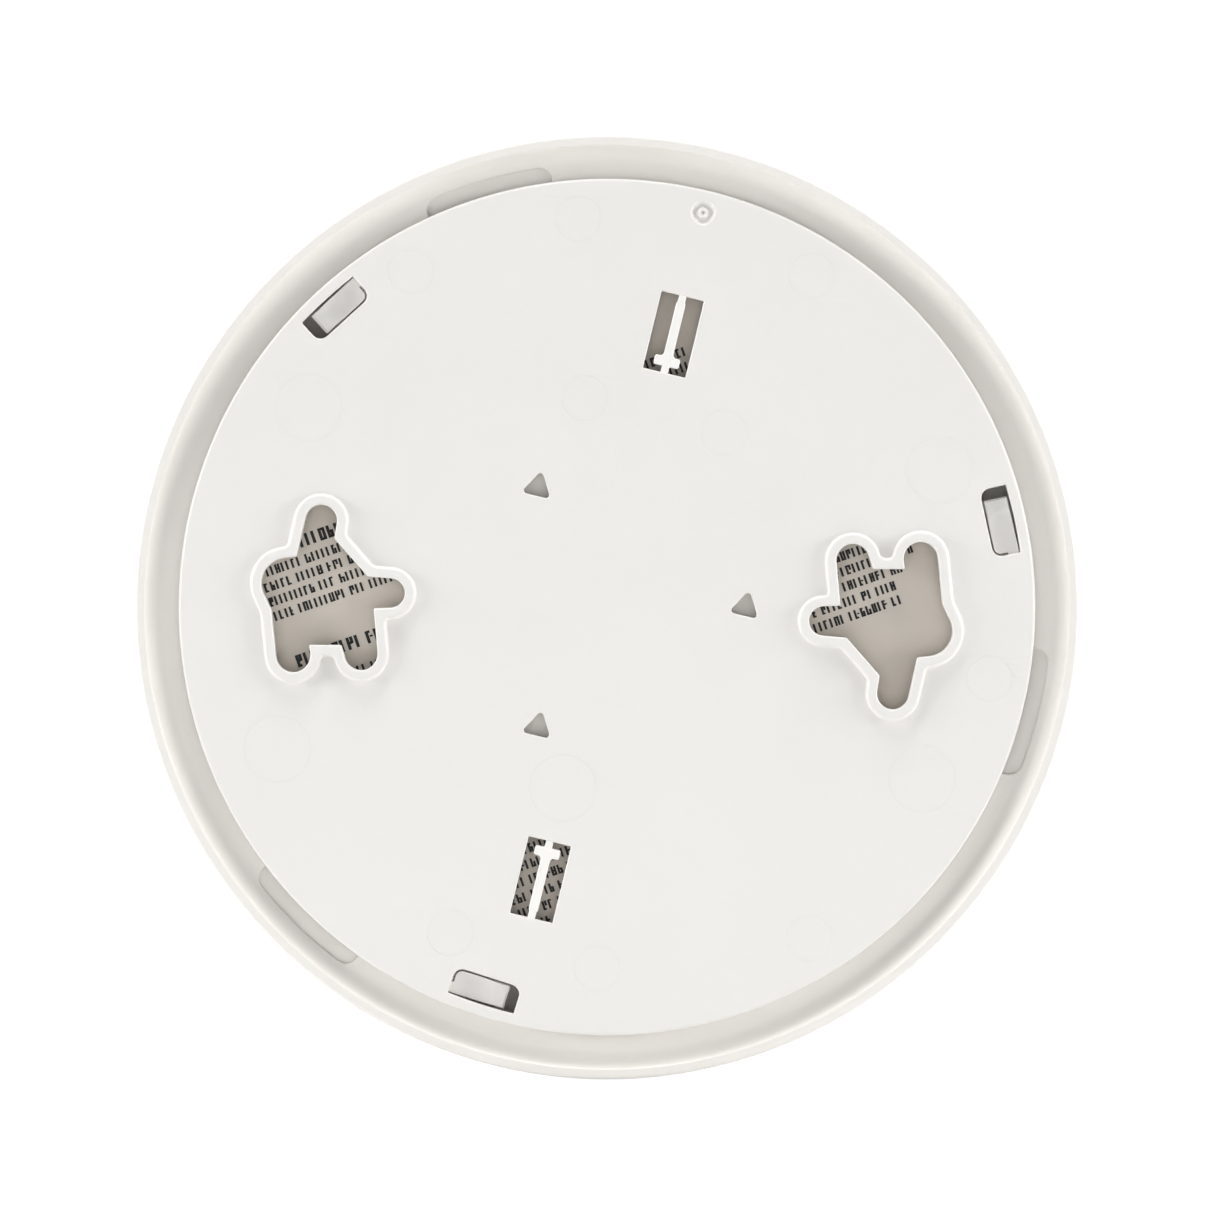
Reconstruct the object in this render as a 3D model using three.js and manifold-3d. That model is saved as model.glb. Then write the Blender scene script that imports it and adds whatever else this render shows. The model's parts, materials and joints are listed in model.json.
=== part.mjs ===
// A round household smoke alarm on its twist-lock mounting bracket, as an assembly of separate pieces.
//
// Lengths are millimetres and angles are degrees, counter-clockwise. The pieces are laid out as on a
// bench, with the alarm face down: x to the right, y away, and z up and out of the back, with z = 0 in
// the wall plane. The last group stands the alarm up as it hangs on a wall, +Z up and its back to +Y,
// and puts its origin at the middle of the bracket's flat back face.
import * as THREE from "three";
import { mergeVertices } from "three/addons/utils/BufferGeometryUtils.js";
import Module from "manifold-3d";

const wasm = await Module();
wasm.setup();

const DEG = Math.PI / 180;
const WELD = 1e-4; // vertices closer than this are one vertex
const PAST = 1; // how far a cutting tool runs past the face that it cuts
const MERGE = 0.5; // how far a rib or boss runs into the piece that it grows from
const GAP = 0.3; // running gap between neighbours
const PILOT_PLAY = 0.1; // round a screw's thread
const ROUND_BIG = 60; // segments round a shell
const ROUND_MID = 30;
const ROUND_SMALL = 16;
const ROUND_SCREW = 12;

// ---- Driving dimensions ----

const BODY_RADIUS = 71.1;
const CREST_RADIUS = 69.6; // inner edge of the flat band on the housing's rim
const BRACKET_RADIUS = 64.5;
const BRACKET_TURN = 76.3; // the bracket's own "up" mark

// Heights of the faces, from the wall plane down to the front of the alarm.
const COLLAR_FACE = 0;
const BRACKET_FACE = -1.3;
const BRACKET_BACK = -3.3;
const CREST_TOP = -0.9;
const LEDGE_TOP = BRACKET_BACK - GAP;
const LEDGE_UNDER = -4.9;
const TRENCH_FLOOR = -7;
const TRENCH_UNDER = -8.6;
const PLATEAU_TOP = -4.8;
const PLATEAU_UNDER = -6.6;
const CENTRE = { radius: 27, top: BRACKET_BACK - GAP }; // raised middle of the housing
const PARTING = -12;
const WALL = 1.8; // thickness of the housing's inner walls
const SKIRT = 2; // thickness of the housing's outer wall

// The housing's rim as [radius, height], from the outer wall over the crest and down the cove to the ledge.
const RIM = [
  [BODY_RADIUS, -1.6],
  [70.8, -1.1],
  [70.3, CREST_TOP],
  [CREST_RADIUS, CREST_TOP],
  [69.4, -1.9],
  [68.8, -2.8],
  [67.9, -3.4],
  [66.9, LEDGE_TOP],
];
const RIM_CORE = { inner: 66.3, top: -5.8 }; // hollow under the rim
const TONGUE = { inner: 67.4, outer: BODY_RADIUS - SKIRT - GAP }; // of the cover, inside the skirt
const BOARD_BACK = -12.2;
const BOARD_FRONT = -13.8;
const FACE_INNER = -40.4;
const FACE_OUTER = -42.4;
const BUTTON_CROWN = -43.8;

// Bayonet: three hooks on the bracket, and three pockets in the housing that let them in.
const HOOK_ANGLES = [12.3, 132.3, 252.3];
const TWIST = 26.4; // how far the head turns between locked and free
const WINDOW_INNER = 58.5;
const WINDOW_OUTER = 62.8;
const WINDOW_LENGTH = 10.4;
const WINDOW_CORNER = 1.5;
const HOOK_SPAN = [-4.7, 3.3]; // of the nose, about the hook's own angle
const HOOK_WALL = 1.2;
const HOOK_WALL_END = 4.75; // where the hook's wall stops, about its own angle
const HOOK_RAMP = 1.3; // how far its end wall stands ahead of the nose
const HOOK_BLOCK_OUTER = 62.5;
const HOOK_BLOCK_TOP = -2.6;
const HOOK_BODY_TOP = -4.6;
const HOOK_SLIT = 0.35; // between the block and the inner side of its window
const HOOK_NOSE_OUTER = 64.2;
const HOOK_NOSE_TOP = LEDGE_UNDER - GAP;
const HOOK_UNDER = -6.6;
const LEDGE_INNER = 62.9;
const TRENCH_INNER = 57;
const TRENCH_OUTER = 64.6;
const POCKET = { span: 17.2, outer: 67, corner: 2, relief: 0.5 };
const STOP_SPAN = [3.9, 6.3]; // the housing's stop, ahead of the hook's nose

// The bracket's openings.
const PIN_WINDOW = { radius: 42.25, width: 6.55, length: 11.9 };
const PIN = { shaft: 1.45, neck: 1.15, head: 3.9, headLength: 1.45, headSetback: 1.0, neckLength: 1.3 };
const PIN_NECK_GAP = 0.1;
const PIN_FACES = [BRACKET_BACK + 0.2, BRACKET_FACE - 0.1];
const COLLAR_WIDTH = 1.6;
const TRIANGLE_RING = 20.84;
const TRIANGLE_SIDE = 4.6;
const TRIANGLE_CORNER = 0.5;
const DIMPLE = { ring: 61.1, outer: 1.9, inner: 0.75, depth: 0.5 };

// The corners of one five-lobed screw slot, and the round lobe that bulges out from each pair of them.
const SHOULDER = [-46.7, 7.6];
const SLOPE_TOP = [-41, 10.3];
const SLOPE_FOOT = [-36, 4.6];
const ELBOW = [-35.1, -0.2];
const NOTCH_RIGHT = [-40, -5.7];
const NOTCH_LEFT = [-44.8, -5.7];
const WAIST = [-50.5, -0.4];
const SLOT_LOBES = [
  { x: -43, y: 13, r: 2.4, from: SHOULDER, to: SLOPE_TOP },
  { x: -32.6, y: 2.1, r: 2.2, from: SLOPE_FOOT, to: ELBOW },
  { x: -37, y: -7, r: 2.5, from: ELBOW, to: NOTCH_RIGHT },
  { x: -47.2, y: -7.2, r: 2.6, from: NOTCH_LEFT, to: WAIST },
  { x: -48.2, y: 3.6, r: 3.8, from: WAIST, to: SHOULDER },
];

// Inside the alarm.
const CASE_SCREW = { ring: 52, angles: [30, 150, 270], head: 2.8, headDepth: 1.8, shank: 1.4, length: 17 };
const CASE_BOSS = { seat: 4.6, cover: 3.5, play: 0.4, pilotEnd: -26 };
const BOARD_RADIUS = 48;
const BOARD_FLAT = -25;
const BOARD_SCREWS = [[0, 42], [-38, -16], [38, -16]];
const BOARD_SCREW = { standoff: 1.8, head: 2.4, headDepth: 1.7, shank: 1.1, length: 4.6 };
const BOARD_HOLE = 1.5;
const BOARD_POST = { radius: 3.2, pilot: 1.25 };
const ON_BOARD = BOARD_FRONT - 0.1; // where the parts on the board stand
const SWITCH = { half: 3, under: -17.4, bore: 1.9, boreEnd: -15.6 };
const PLUNGER = { radius: 1.6, low: -19.2, high: -16.6 };
const CHIP = { x: 1, y: 13.5, width: 7.6, length: 10, height: 2.2 };
const TRANSFORMER = { x: 12, y: -17, flange: 4.6, core: 3.9, flangeDepth: 1, height: 9.2 };
const CAPACITOR = { x: -6, y: -17, radius: 3.1, height: 8.4 };
const LABEL = { radius: 54.5, inner: 27.5, thickness: 0.2, lift: 0.1, screwNotch: 3.8 };
const CHAMBER = { x: -30, y: 6, radius: 20 };
const HORN = { x: 34, y: 9, radius: 16, wall: 1, seatWall: 1.1, seatTop: -36.5 };
const CELL = { y: -36, z: -17.6, radius: 8.5, length: 34.5 };
const CRADLE = { x: 11, wall: 1.6, reach: 10.5, drop: 2.4 };
const LIGHT = { x: 0, y: 26, radius: 1.5 };
const BUTTON = {
  radius: 16, flange: 17.7, flangeDepth: 1.2, post: 2.6, postEnd: -19.4, play: 0.4, wall: 1.8,
};
const SLIDER = { ring: 24, angle: 180, rib: 2.8, ribSpan: 5, ribEnd: -8.6, under: -9.6, slotHalfWidth: 1.8 };
const CARRIAGE = { reach: 8.5, halfWidth: 3.4, ribPlay: 0.8 }; // reach is degrees either side of its middle
const SLIDER_PLAY = 1.2; // degrees of room for the rib at each end of its slot
const RAIL = { rings: [19.4, 27.8], wall: 0.8, under: -9.8, before: 8, after: 9 };
const VENTS = { count: 32, inner: 58.6, outer: 63.4, width: 6.2, top: -30 };
const GRILLE = { offsets: [-10, -6, -2, 2, 6, 10], margin: 3, slotWidth: 1.8 };

// ---- Tools for making shapes ----

const polar = (radius, degrees) =>
  new THREE.Vector2(radius * Math.cos(degrees * DEG), radius * Math.sin(degrees * DEG));

const turned = (points, degrees) =>
  points.map((p) => p.clone().rotateAround(new THREE.Vector2(), degrees * DEG));

const moved = (points, x, y) => points.map((p) => new THREE.Vector2(p.x + x, p.y + y));

function arc(cx, cy, radius, from, to, steps) {
  return Array.from({ length: steps + 1 }, (_, i) => {
    const p = polar(radius, from + ((to - from) * i) / steps);
    return new THREE.Vector2(cx + p.x, cy + p.y);
  });
}

const circle = (radius, segments, x = 0, y = 0) => arc(x, y, radius, 0, 360, segments).slice(0, -1);

const rectangle = (x0, y0, x1, y1) => [
  new THREE.Vector2(x0, y0),
  new THREE.Vector2(x1, y0),
  new THREE.Vector2(x1, y1),
  new THREE.Vector2(x0, y1),
];

// A piece of a ring. Its outer corners are rounded when corner is given.
function sector(inner, outer, from, to, corner = 0) {
  const steps = Math.max(2, Math.ceil((to - from) / (360 / ROUND_BIG)));
  const near = arc(0, 0, inner, to, from, steps);
  if (!corner) return [...arc(0, 0, outer, from, to, steps), ...near];
  const inset = Math.asin(corner / (outer - corner)) / DEG;
  const low = polar(outer - corner, from + inset);
  const high = polar(outer - corner, to - inset);
  return [
    ...arc(low.x, low.y, corner, from - 90, from + inset, 5),
    ...arc(0, 0, outer, from + inset, to - inset, steps).slice(1, -1),
    ...arc(high.x, high.y, corner, to - inset, to + 90, 5),
    ...near,
  ];
}

// A convex, clockwise outline made larger by the given distance, with rounded corners.
function grown(points, distance) {
  return points.flatMap((p, i) => {
    const before = p.clone().sub(points.at(i - 1)).angle() / DEG + 90;
    const after = points[(i + 1) % points.length].clone().sub(p).angle() / DEG + 90;
    const bend = (before - after + 720) % 360;
    return arc(p.x, p.y, distance, before, before - bend, Math.max(1, Math.round(bend / 30)));
  });
}

// A closed three.js geometry as a solid that can be joined and cut.
function solid(geometry) {
  const bare = geometry.index ? geometry.toNonIndexed() : geometry.clone();
  bare.deleteAttribute("normal");
  bare.deleteAttribute("uv");
  const welded = mergeVertices(bare, WELD);
  return new wasm.Manifold(
    new wasm.Mesh({
      numProp: 3,
      vertProperties: welded.attributes.position.array,
      triVerts: new Uint32Array(welded.index.array),
    }),
  );
}

function geometryOf(body) {
  const mesh = body.getMesh();
  const geometry = new THREE.BufferGeometry();
  geometry.setAttribute("position", new THREE.BufferAttribute(mesh.vertProperties, mesh.numProp));
  geometry.setIndex(new THREE.BufferAttribute(mesh.triVerts, 1));
  return geometry;
}

const joined = (first, ...rest) => rest.reduce((sum, next) => sum.add(next), first);
const cut = (first, ...rest) => rest.reduce((left, next) => left.subtract(next), first);

// A flat plate with the given outline and holes, between two heights.
function plate(outline, low, high, holes = []) {
  const shape = new THREE.Shape(outline);
  shape.holes = holes.map((hole) => new THREE.Path(hole));
  const geometry = new THREE.ExtrudeGeometry(shape, { depth: high - low, bevelEnabled: false });
  return solid(geometry.translate(0, 0, low));
}

// Revolves [radius, height] points round the z axis through (x, y).
function revolve(profile, segments, x = 0, y = 0) {
  const points = profile.map(([r, z]) => new THREE.Vector2(r, z));
  const geometry = new THREE.LatheGeometry(points, segments);
  return solid(geometry.rotateX(Math.PI / 2).translate(x, y, 0));
}

const closed = (profile) => [...profile, profile[0]];

function cylinder(radius, low, high, x = 0, y = 0, segments = ROUND_SMALL) {
  return revolve([[0, low], [radius, low], [radius, high], [0, high]], segments, x, y);
}

function tube(outer, inner, low, high, x = 0, y = 0, segments = ROUND_MID) {
  const profile = closed([[inner, low], [outer, low], [outer, high], [inner, high]]);
  return revolve(profile, segments, x, y);
}

function block(x0, y0, z0, x1, y1, z1) {
  const geometry = new THREE.BoxGeometry(x1 - x0, y1 - y0, z1 - z0);
  return solid(geometry.translate((x0 + x1) / 2, (y0 + y1) / 2, (z0 + z1) / 2));
}

// A bar of the given cross-section that follows points in space.
function swept(outline, path, steps) {
  const extrudePath = new THREE.CatmullRomCurve3(path.map((p) => new THREE.Vector3(...p)));
  return solid(new THREE.ExtrudeGeometry(new THREE.Shape(outline), { extrudePath, steps }));
}

// ---- Mounting bracket and its break-away pins ----

// The angle on a lobe where the straight edge from a corner meets it.
function tangentAngle(lobe, corner, side) {
  const away = new THREE.Vector2(corner[0] - lobe.x, corner[1] - lobe.y);
  const reach = Math.max(away.length(), lobe.r);
  return away.angle() / DEG + (side * Math.acos(lobe.r / reach)) / DEG;
}

function lobeArc(lobe) {
  const start = tangentAngle(lobe, lobe.from, -1);
  let end = tangentAngle(lobe, lobe.to, 1);
  while (end > start) end -= 360;
  return arc(lobe.x, lobe.y, lobe.r, start, end, 7);
}

const withoutRepeats = (points) => points.filter((p, i) => p.distanceTo(points.at(i - 1)) > 0.05);

// The slot as convex pieces: one for each lobe, and the middle that they stand round.
function slotPieces() {
  const corner = ([x, y]) => new THREE.Vector2(x, y);
  const petals = SLOT_LOBES.map((lobe) => [corner(lobe.from), ...lobeArc(lobe), corner(lobe.to)]);
  const middle = SLOT_LOBES.flatMap((lobe) => [corner(lobe.from), corner(lobe.to)]);
  return [...petals, middle].map(withoutRepeats);
}

const screwSlot = () => withoutRepeats(slotPieces().slice(0, -1).flat());

// The raised rim round one slot, cut through by the slot itself.
function slotCollar(turn) {
  const low = BRACKET_BACK + MERGE;
  const rims = slotPieces().map((piece) => plate(turned(grown(piece, COLLAR_WIDTH), turn), low, COLLAR_FACE));
  return cut(joined(...rims), plate(turned(screwSlot(), turn), low - PAST, COLLAR_FACE + PAST));
}

function hookWindow() {
  const half = WINDOW_LENGTH / 2;
  const reach = Math.asin(half / WINDOW_OUTER) / DEG;
  const inner = WINDOW_INNER + WINDOW_CORNER;
  return [
    ...arc(0, 0, WINDOW_OUTER, -reach, reach, 4),
    ...arc(inner, half - WINDOW_CORNER, WINDOW_CORNER, 90, 180, 4),
    ...arc(inner, WINDOW_CORNER - half, WINDOW_CORNER, 180, 270, 4),
  ];
}

// Rounded triangle with its point along +x.
function triangle() {
  const reach = TRIANGLE_SIDE / Math.sqrt(3) - 2 * TRIANGLE_CORNER;
  return [0, 120, 240].flatMap((turn) => {
    const centre = polar(reach, turn);
    return arc(centre.x, centre.y, TRIANGLE_CORNER, turn - 60, turn + 60, 4);
  });
}

const pinWindow = (turn) =>
  turned(
    rectangle(
      PIN_WINDOW.radius - PIN_WINDOW.length / 2,
      -PIN_WINDOW.width / 2,
      PIN_WINDOW.radius + PIN_WINDOW.length / 2,
      PIN_WINDOW.width / 2,
    ),
    turn,
  );

// One hook: a wall down from the inner side of its window, a body, a nose that runs under the ledge, and a
// block that fills the window but for a slit and is joined to the plate at its clockwise end.
function hook(angle) {
  const [low, high] = HOOK_SPAN.map((a) => a + angle);
  const wallInner = WINDOW_INNER - HOOK_WALL;
  const wallTop = BRACKET_BACK + MERGE;
  const wall = plate(sector(wallInner, WINDOW_INNER, low, angle + HOOK_WALL_END), HOOK_UNDER, wallTop);
  const end = plate(sector(wallInner, HOOK_BLOCK_OUTER, low - HOOK_RAMP, low), HOOK_UNDER, wallTop);
  const body = plate(sector(wallInner, HOOK_BLOCK_OUTER, low - HOOK_RAMP, high), HOOK_UNDER, HOOK_BODY_TOP);
  const inner = WINDOW_INNER + HOOK_SLIT;
  const fill = plate(sector(inner, HOOK_BLOCK_OUTER, low - HOOK_RAMP, high), HOOK_UNDER, HOOK_BLOCK_TOP);
  const nose = plate(sector(WINDOW_INNER, HOOK_NOSE_OUTER, low, high), HOOK_UNDER, HOOK_NOSE_TOP);
  return joined(wall, end, body, fill, nose);
}

function mountingBracket() {
  const slots = [screwSlot(), turned(screwSlot(), 180)];
  const triangles = [0, 120, 240].map((turn) => {
    const at = polar(TRIANGLE_RING, turn);
    return moved(turned(triangle(), BRACKET_TURN), at.x, at.y);
  });
  const windows = HOOK_ANGLES.map((turn) => turned(hookWindow(), turn));
  const pins = [BRACKET_TURN, BRACKET_TURN + 180].map(pinWindow);
  const holes = [...slots, ...triangles, ...windows, ...pins];
  const disc = plate(circle(BRACKET_RADIUS, ROUND_BIG), BRACKET_BACK, BRACKET_FACE, holes);
  const collars = [0, 180].map(slotCollar);
  const at = polar(DIMPLE.ring, BRACKET_TURN);
  const dimple = tube(DIMPLE.outer, DIMPLE.inner, BRACKET_FACE - DIMPLE.depth, PAST, at.x, at.y, ROUND_SMALL);
  const half = SLIDER.ribSpan / 2;
  const [near, far] = [SLIDER.ring - SLIDER.rib / 2, SLIDER.ring + SLIDER.rib / 2];
  const rib = plate(
    sector(near, far, SLIDER.angle - half, SLIDER.angle + half),
    SLIDER.ribEnd,
    BRACKET_BACK + MERGE,
  );
  return joined(cut(disc, dimple), ...collars, ...HOOK_ANGLES.map(hook), rib);
}

// A T-shaped pin along a radius, head towards the middle, with a thin neck at each end.
function lockingPin(turn) {
  const start = PIN_WINDOW.radius - PIN_WINDOW.length / 2;
  const end = PIN_WINDOW.radius + PIN_WINDOW.length / 2;
  const head = start + PIN.headSetback;
  const shaft = head + PIN.headLength;
  const outline = [
    [start + PIN_NECK_GAP, PIN.neck],
    [head, PIN.neck],
    [head, PIN.head],
    [shaft, PIN.head],
    [shaft, PIN.shaft],
    [end - PIN.neckLength, PIN.shaft],
    [end - PIN.neckLength, PIN.neck],
    [end - PIN_NECK_GAP, PIN.neck],
  ];
  const upper = outline.map(([x, width]) => new THREE.Vector2(x, width / 2));
  const lower = outline.map(([x, width]) => new THREE.Vector2(x, -width / 2)).reverse();
  return plate(turned([...upper, ...lower], turn), ...PIN_FACES);
}

// ---- Rear housing and label ----

function rearHousing() {
  const pan = revolve(
    [
      [0, PLATEAU_UNDER],
      [TRENCH_INNER - WALL, PLATEAU_UNDER],
      [TRENCH_INNER - WALL, TRENCH_UNDER],
      [RIM_CORE.inner, TRENCH_UNDER],
      [RIM_CORE.inner, RIM_CORE.top],
      [BODY_RADIUS - SKIRT, RIM_CORE.top],
      [BODY_RADIUS - SKIRT, PARTING],
      [BODY_RADIUS, PARTING],
      ...RIM,
      [LEDGE_INNER, LEDGE_TOP],
      [LEDGE_INNER, LEDGE_UNDER],
      [TRENCH_OUTER, LEDGE_UNDER],
      [TRENCH_OUTER, TRENCH_FLOOR],
      [TRENCH_INNER, TRENCH_FLOOR],
      [TRENCH_INNER, PLATEAU_TOP],
      [CENTRE.radius, PLATEAU_TOP],
      [CENTRE.radius, CENTRE.top],
      [0, CENTRE.top],
    ],
    ROUND_BIG,
  );
  const screwSeats = CASE_SCREW.angles.map((turn) => {
    const at = polar(CASE_SCREW.ring, turn);
    return cylinder(CASE_BOSS.seat, TRENCH_UNDER, PLATEAU_UNDER + MERGE, at.x, at.y);
  });
  const screwHoles = CASE_SCREW.angles.flatMap((turn) => {
    const at = polar(CASE_SCREW.ring, turn);
    const headSeat = PLATEAU_TOP - CASE_SCREW.headDepth - CASE_BOSS.play;
    return [
      cylinder(CASE_SCREW.head + CASE_BOSS.play, headSeat, PAST, at.x, at.y),
      cylinder(CASE_SCREW.shank + CASE_BOSS.play, TRENCH_UNDER - PAST, PAST, at.x, at.y),
    ];
  });
  const posts = BOARD_SCREWS.map(([x, y]) =>
    cylinder(BOARD_POST.radius, BOARD_BACK + GAP, PLATEAU_UNDER + MERGE, x, y),
  );
  const postHoles = BOARD_SCREWS.map(([x, y]) =>
    cylinder(BOARD_POST.pilot, BOARD_BACK - PAST, PLATEAU_UNDER - MERGE, x, y),
  );
  const stops = HOOK_ANGLES.map((angle) =>
    plate(
      sector(LEDGE_INNER + GAP, TRENCH_OUTER + MERGE, angle + STOP_SPAN[0], angle + STOP_SPAN[1]),
      TRENCH_FLOOR - MERGE,
      LEDGE_UNDER + MERGE,
    ),
  );
  const pockets = HOOK_ANGLES.flatMap((angle) => {
    const from = angle - TWIST - POCKET.span / 2;
    const to = from + POCKET.span;
    const inner = LEDGE_INNER - PAST;
    return [
      plate(sector(inner, TRENCH_OUTER, from, to), LEDGE_UNDER - MERGE, LEDGE_TOP + PAST),
      plate(
        sector(inner, POCKET.outer, from, to, POCKET.corner),
        LEDGE_TOP - POCKET.relief,
        LEDGE_TOP + PAST,
      ),
    ];
  });
  const rails = RAIL.rings.map((inner) =>
    plate(
      sector(inner, inner + RAIL.wall, SLIDER.angle - TWIST - RAIL.before, SLIDER.angle + RAIL.after),
      RAIL.under,
      PLATEAU_UNDER + MERGE,
    ),
  );
  return cut(
    joined(pan, ...screwSeats, ...posts, ...stops, ...rails, ...cellCradle()),
    ...screwHoles,
    ...postHoles,
    ...pockets,
    plate(sliderSlot(), PLATEAU_UNDER - PAST, CENTRE.top + PAST),
  );
}

// The arc that the bracket's rib sweeps through the housing as the head turns.
function sliderSlot() {
  const play = SLIDER.ribSpan / 2 + SLIDER_PLAY;
  const from = SLIDER.angle - TWIST - play;
  const [near, far] = [SLIDER.ring - SLIDER.slotHalfWidth, SLIDER.ring + SLIDER.slotHalfWidth];
  return sector(near, far, from, SLIDER.angle + play);
}

// Two ribs that the cell snaps into.
function cellCradle() {
  const radius = CELL.radius + GAP;
  const seat = solid(
    new THREE.CylinderGeometry(radius, radius, CELL.length, ROUND_MID)
      .rotateZ(Math.PI / 2)
      .translate(0, CELL.y, CELL.z),
  );
  const { wall, reach, drop } = CRADLE;
  return [-CRADLE.x, CRADLE.x].map((x) => {
    const rib = block(
      x - wall / 2, CELL.y - reach, CELL.z - drop,
      x + wall / 2, CELL.y + reach, PLATEAU_UNDER + MERGE,
    );
    return cut(rib, seat);
  });
}

function ratingLabel() {
  const low = PLATEAU_TOP + LABEL.lift;
  const middle = circle(LABEL.inner, ROUND_BIG);
  const sheet = plate(circle(LABEL.radius, ROUND_BIG), low, low + LABEL.thickness, [middle]);
  const notches = CASE_SCREW.angles.map((turn) => {
    const at = polar(CASE_SCREW.ring, turn);
    return cylinder(LABEL.screwNotch, low - PAST, low + PAST, at.x, at.y);
  });
  return cut(sheet, ...notches);
}

// ---- Front cover ----

// Sounder slots: arcs about the alarm's middle, each as long as the round patch over the horn allows.
function grilleSlots() {
  const reach = Math.hypot(HORN.x, HORN.y);
  const middle = Math.atan2(HORN.y, HORN.x) / DEG;
  const patch = HORN.radius - GRILLE.margin;
  return GRILLE.offsets.map((offset) => {
    const ring = reach + offset;
    const half = Math.acos((ring ** 2 + reach ** 2 - patch ** 2) / (2 * ring * reach)) / DEG;
    const [inner, outer] = [ring - GRILLE.slotWidth / 2, ring + GRILLE.slotWidth / 2];
    return plate(sector(inner, outer, middle - half, middle + half), FACE_OUTER - PAST, FACE_INNER + PAST);
  });
}

function frontCover() {
  const hole = BUTTON.radius + BUTTON.play;
  const shell = revolve(
    closed([
      [hole, FACE_OUTER],
      [52.5, FACE_OUTER],
      [54.8, -41.9],
      [56.6, -40.6],
      [57.6, -38.6],
      [64.4, -33.8],
      [67.2, -32.2],
      [69, -29.6],
      [69.8, -26.5],
      [70.7, -16],
      [70.9, PARTING - GAP],
      [TONGUE.outer, PARTING - GAP],
      [TONGUE.outer, TRENCH_UNDER - GAP],
      [TONGUE.inner, TRENCH_UNDER - GAP],
      [TONGUE.inner, -14.5],
      [68.6, -16],
      [67.8, -26],
      [67, -28.6],
      [65.6, -30.6],
      [63.2, -32],
      [56.2, -37],
      [54.8, -38.4],
      [53.4, -39.9],
      [51.8, FACE_INNER],
      [hole, FACE_INNER],
    ]),
    ROUND_BIG,
  );
  const bosses = CASE_SCREW.angles.map((turn) => {
    const at = polar(CASE_SCREW.ring, turn);
    return cylinder(CASE_BOSS.cover, FACE_INNER - MERGE, TRENCH_UNDER - GAP, at.x, at.y);
  });
  const pilots = CASE_SCREW.angles.map((turn) => {
    const at = polar(CASE_SCREW.ring, turn);
    return cylinder(CASE_SCREW.shank + PILOT_PLAY, CASE_BOSS.pilotEnd, PAST, at.x, at.y);
  });
  const hornSeat = tube(
    HORN.radius + HORN.seatWall, HORN.radius + GAP, FACE_INNER - MERGE, HORN.seatTop, HORN.x, HORN.y,
  );
  const vents = Array.from({ length: VENTS.count }, (_, i) =>
    plate(
      turned(
        rectangle(VENTS.inner, -VENTS.width / 2, VENTS.outer, VENTS.width / 2),
        ((i + 0.5) * 360) / VENTS.count,
      ),
      FACE_OUTER - PAST,
      VENTS.top,
    ),
  );
  const lightHole = cylinder(LIGHT.radius + GAP, FACE_OUTER - PAST, FACE_INNER + PAST, LIGHT.x, LIGHT.y);
  return cut(joined(cut(shell, ...vents), ...bosses, hornSeat), ...pilots, ...grilleSlots(), lightHole);
}

// ---- Test button, its switch, and the light ----

function testButton() {
  const flangeLow = FACE_INNER + GAP;
  const flangeTop = flangeLow + BUTTON.flangeDepth;
  return revolve(
    [
      [0, BUTTON_CROWN],
      [BUTTON.radius - 3.5, BUTTON_CROWN + 0.2],
      [BUTTON.radius - 0.8, BUTTON_CROWN + 0.8],
      [BUTTON.radius, BUTTON_CROWN + 1.8],
      [BUTTON.radius, flangeLow],
      [BUTTON.flange, flangeLow],
      [BUTTON.flange, flangeTop],
      [BUTTON.radius - BUTTON.wall, flangeTop],
      [BUTTON.radius - BUTTON.wall, FACE_INNER - 1],
      [BUTTON.post, FACE_INNER - 1.5],
      [BUTTON.post, BUTTON.postEnd],
      [0, BUTTON.postEnd],
    ],
    ROUND_MID,
  );
}

function tactileSwitchBody() {
  const { half, under, bore, boreEnd } = SWITCH;
  return cut(block(-half, -half, under, half, half, ON_BOARD), cylinder(bore, under - PAST, boreEnd));
}

const switchPlunger = () => cylinder(PLUNGER.radius, PLUNGER.low, PLUNGER.high);

function statusLed() {
  const { x, y, radius } = LIGHT;
  return revolve(
    [
      [0, -18.2],
      [0.9, -17.9],
      [radius, -17],
      [radius, -14.8],
      [radius + 0.4, -14.8],
      [radius + 0.4, -13.9],
      [0, -13.9],
    ],
    ROUND_SMALL, x, y,
  );
}

function lightPipe() {
  const { x, y, radius } = LIGHT;
  return revolve(
    [[0, -42.8], [1, -42.7], [radius, -42.3], [radius, FACE_INNER + 0.4], [2.6, FACE_INNER + 0.4],
      [2.6, FACE_INNER + 1.4], [radius, FACE_INNER + 1.4], [radius, -18.6], [0, -18.6]],
    ROUND_SMALL, x, y,
  );
}

// ---- Circuit board and what is soldered to it ----

function circuitBoard() {
  const half = Math.acos(BOARD_FLAT / BOARD_RADIUS) / DEG;
  const outline = arc(0, 0, BOARD_RADIUS, 90 - half, 90 + half, ROUND_BIG);
  const holes = BOARD_SCREWS.map(([x, y]) => circle(BOARD_HOLE, ROUND_SMALL, x, y));
  return plate(outline, BOARD_FRONT, BOARD_BACK, holes);
}

function microcontroller() {
  const { x, y, width, length, height } = CHIP;
  return block(x - width / 2, y - length / 2, ON_BOARD - height, x + width / 2, y + length / 2, ON_BOARD);
}

// A wound bobbin between two flanges.
function hornTransformer() {
  const { x, y, flange, core, flangeDepth, height } = TRANSFORMER;
  const tip = ON_BOARD - height;
  return revolve(
    [
      [0, tip],
      [flange, tip],
      [flange, tip + flangeDepth],
      [core, tip + flangeDepth],
      [core, ON_BOARD - flangeDepth],
      [flange, ON_BOARD - flangeDepth],
      [flange, ON_BOARD],
      [0, ON_BOARD],
    ],
    ROUND_SMALL, x, y,
  );
}

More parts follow.
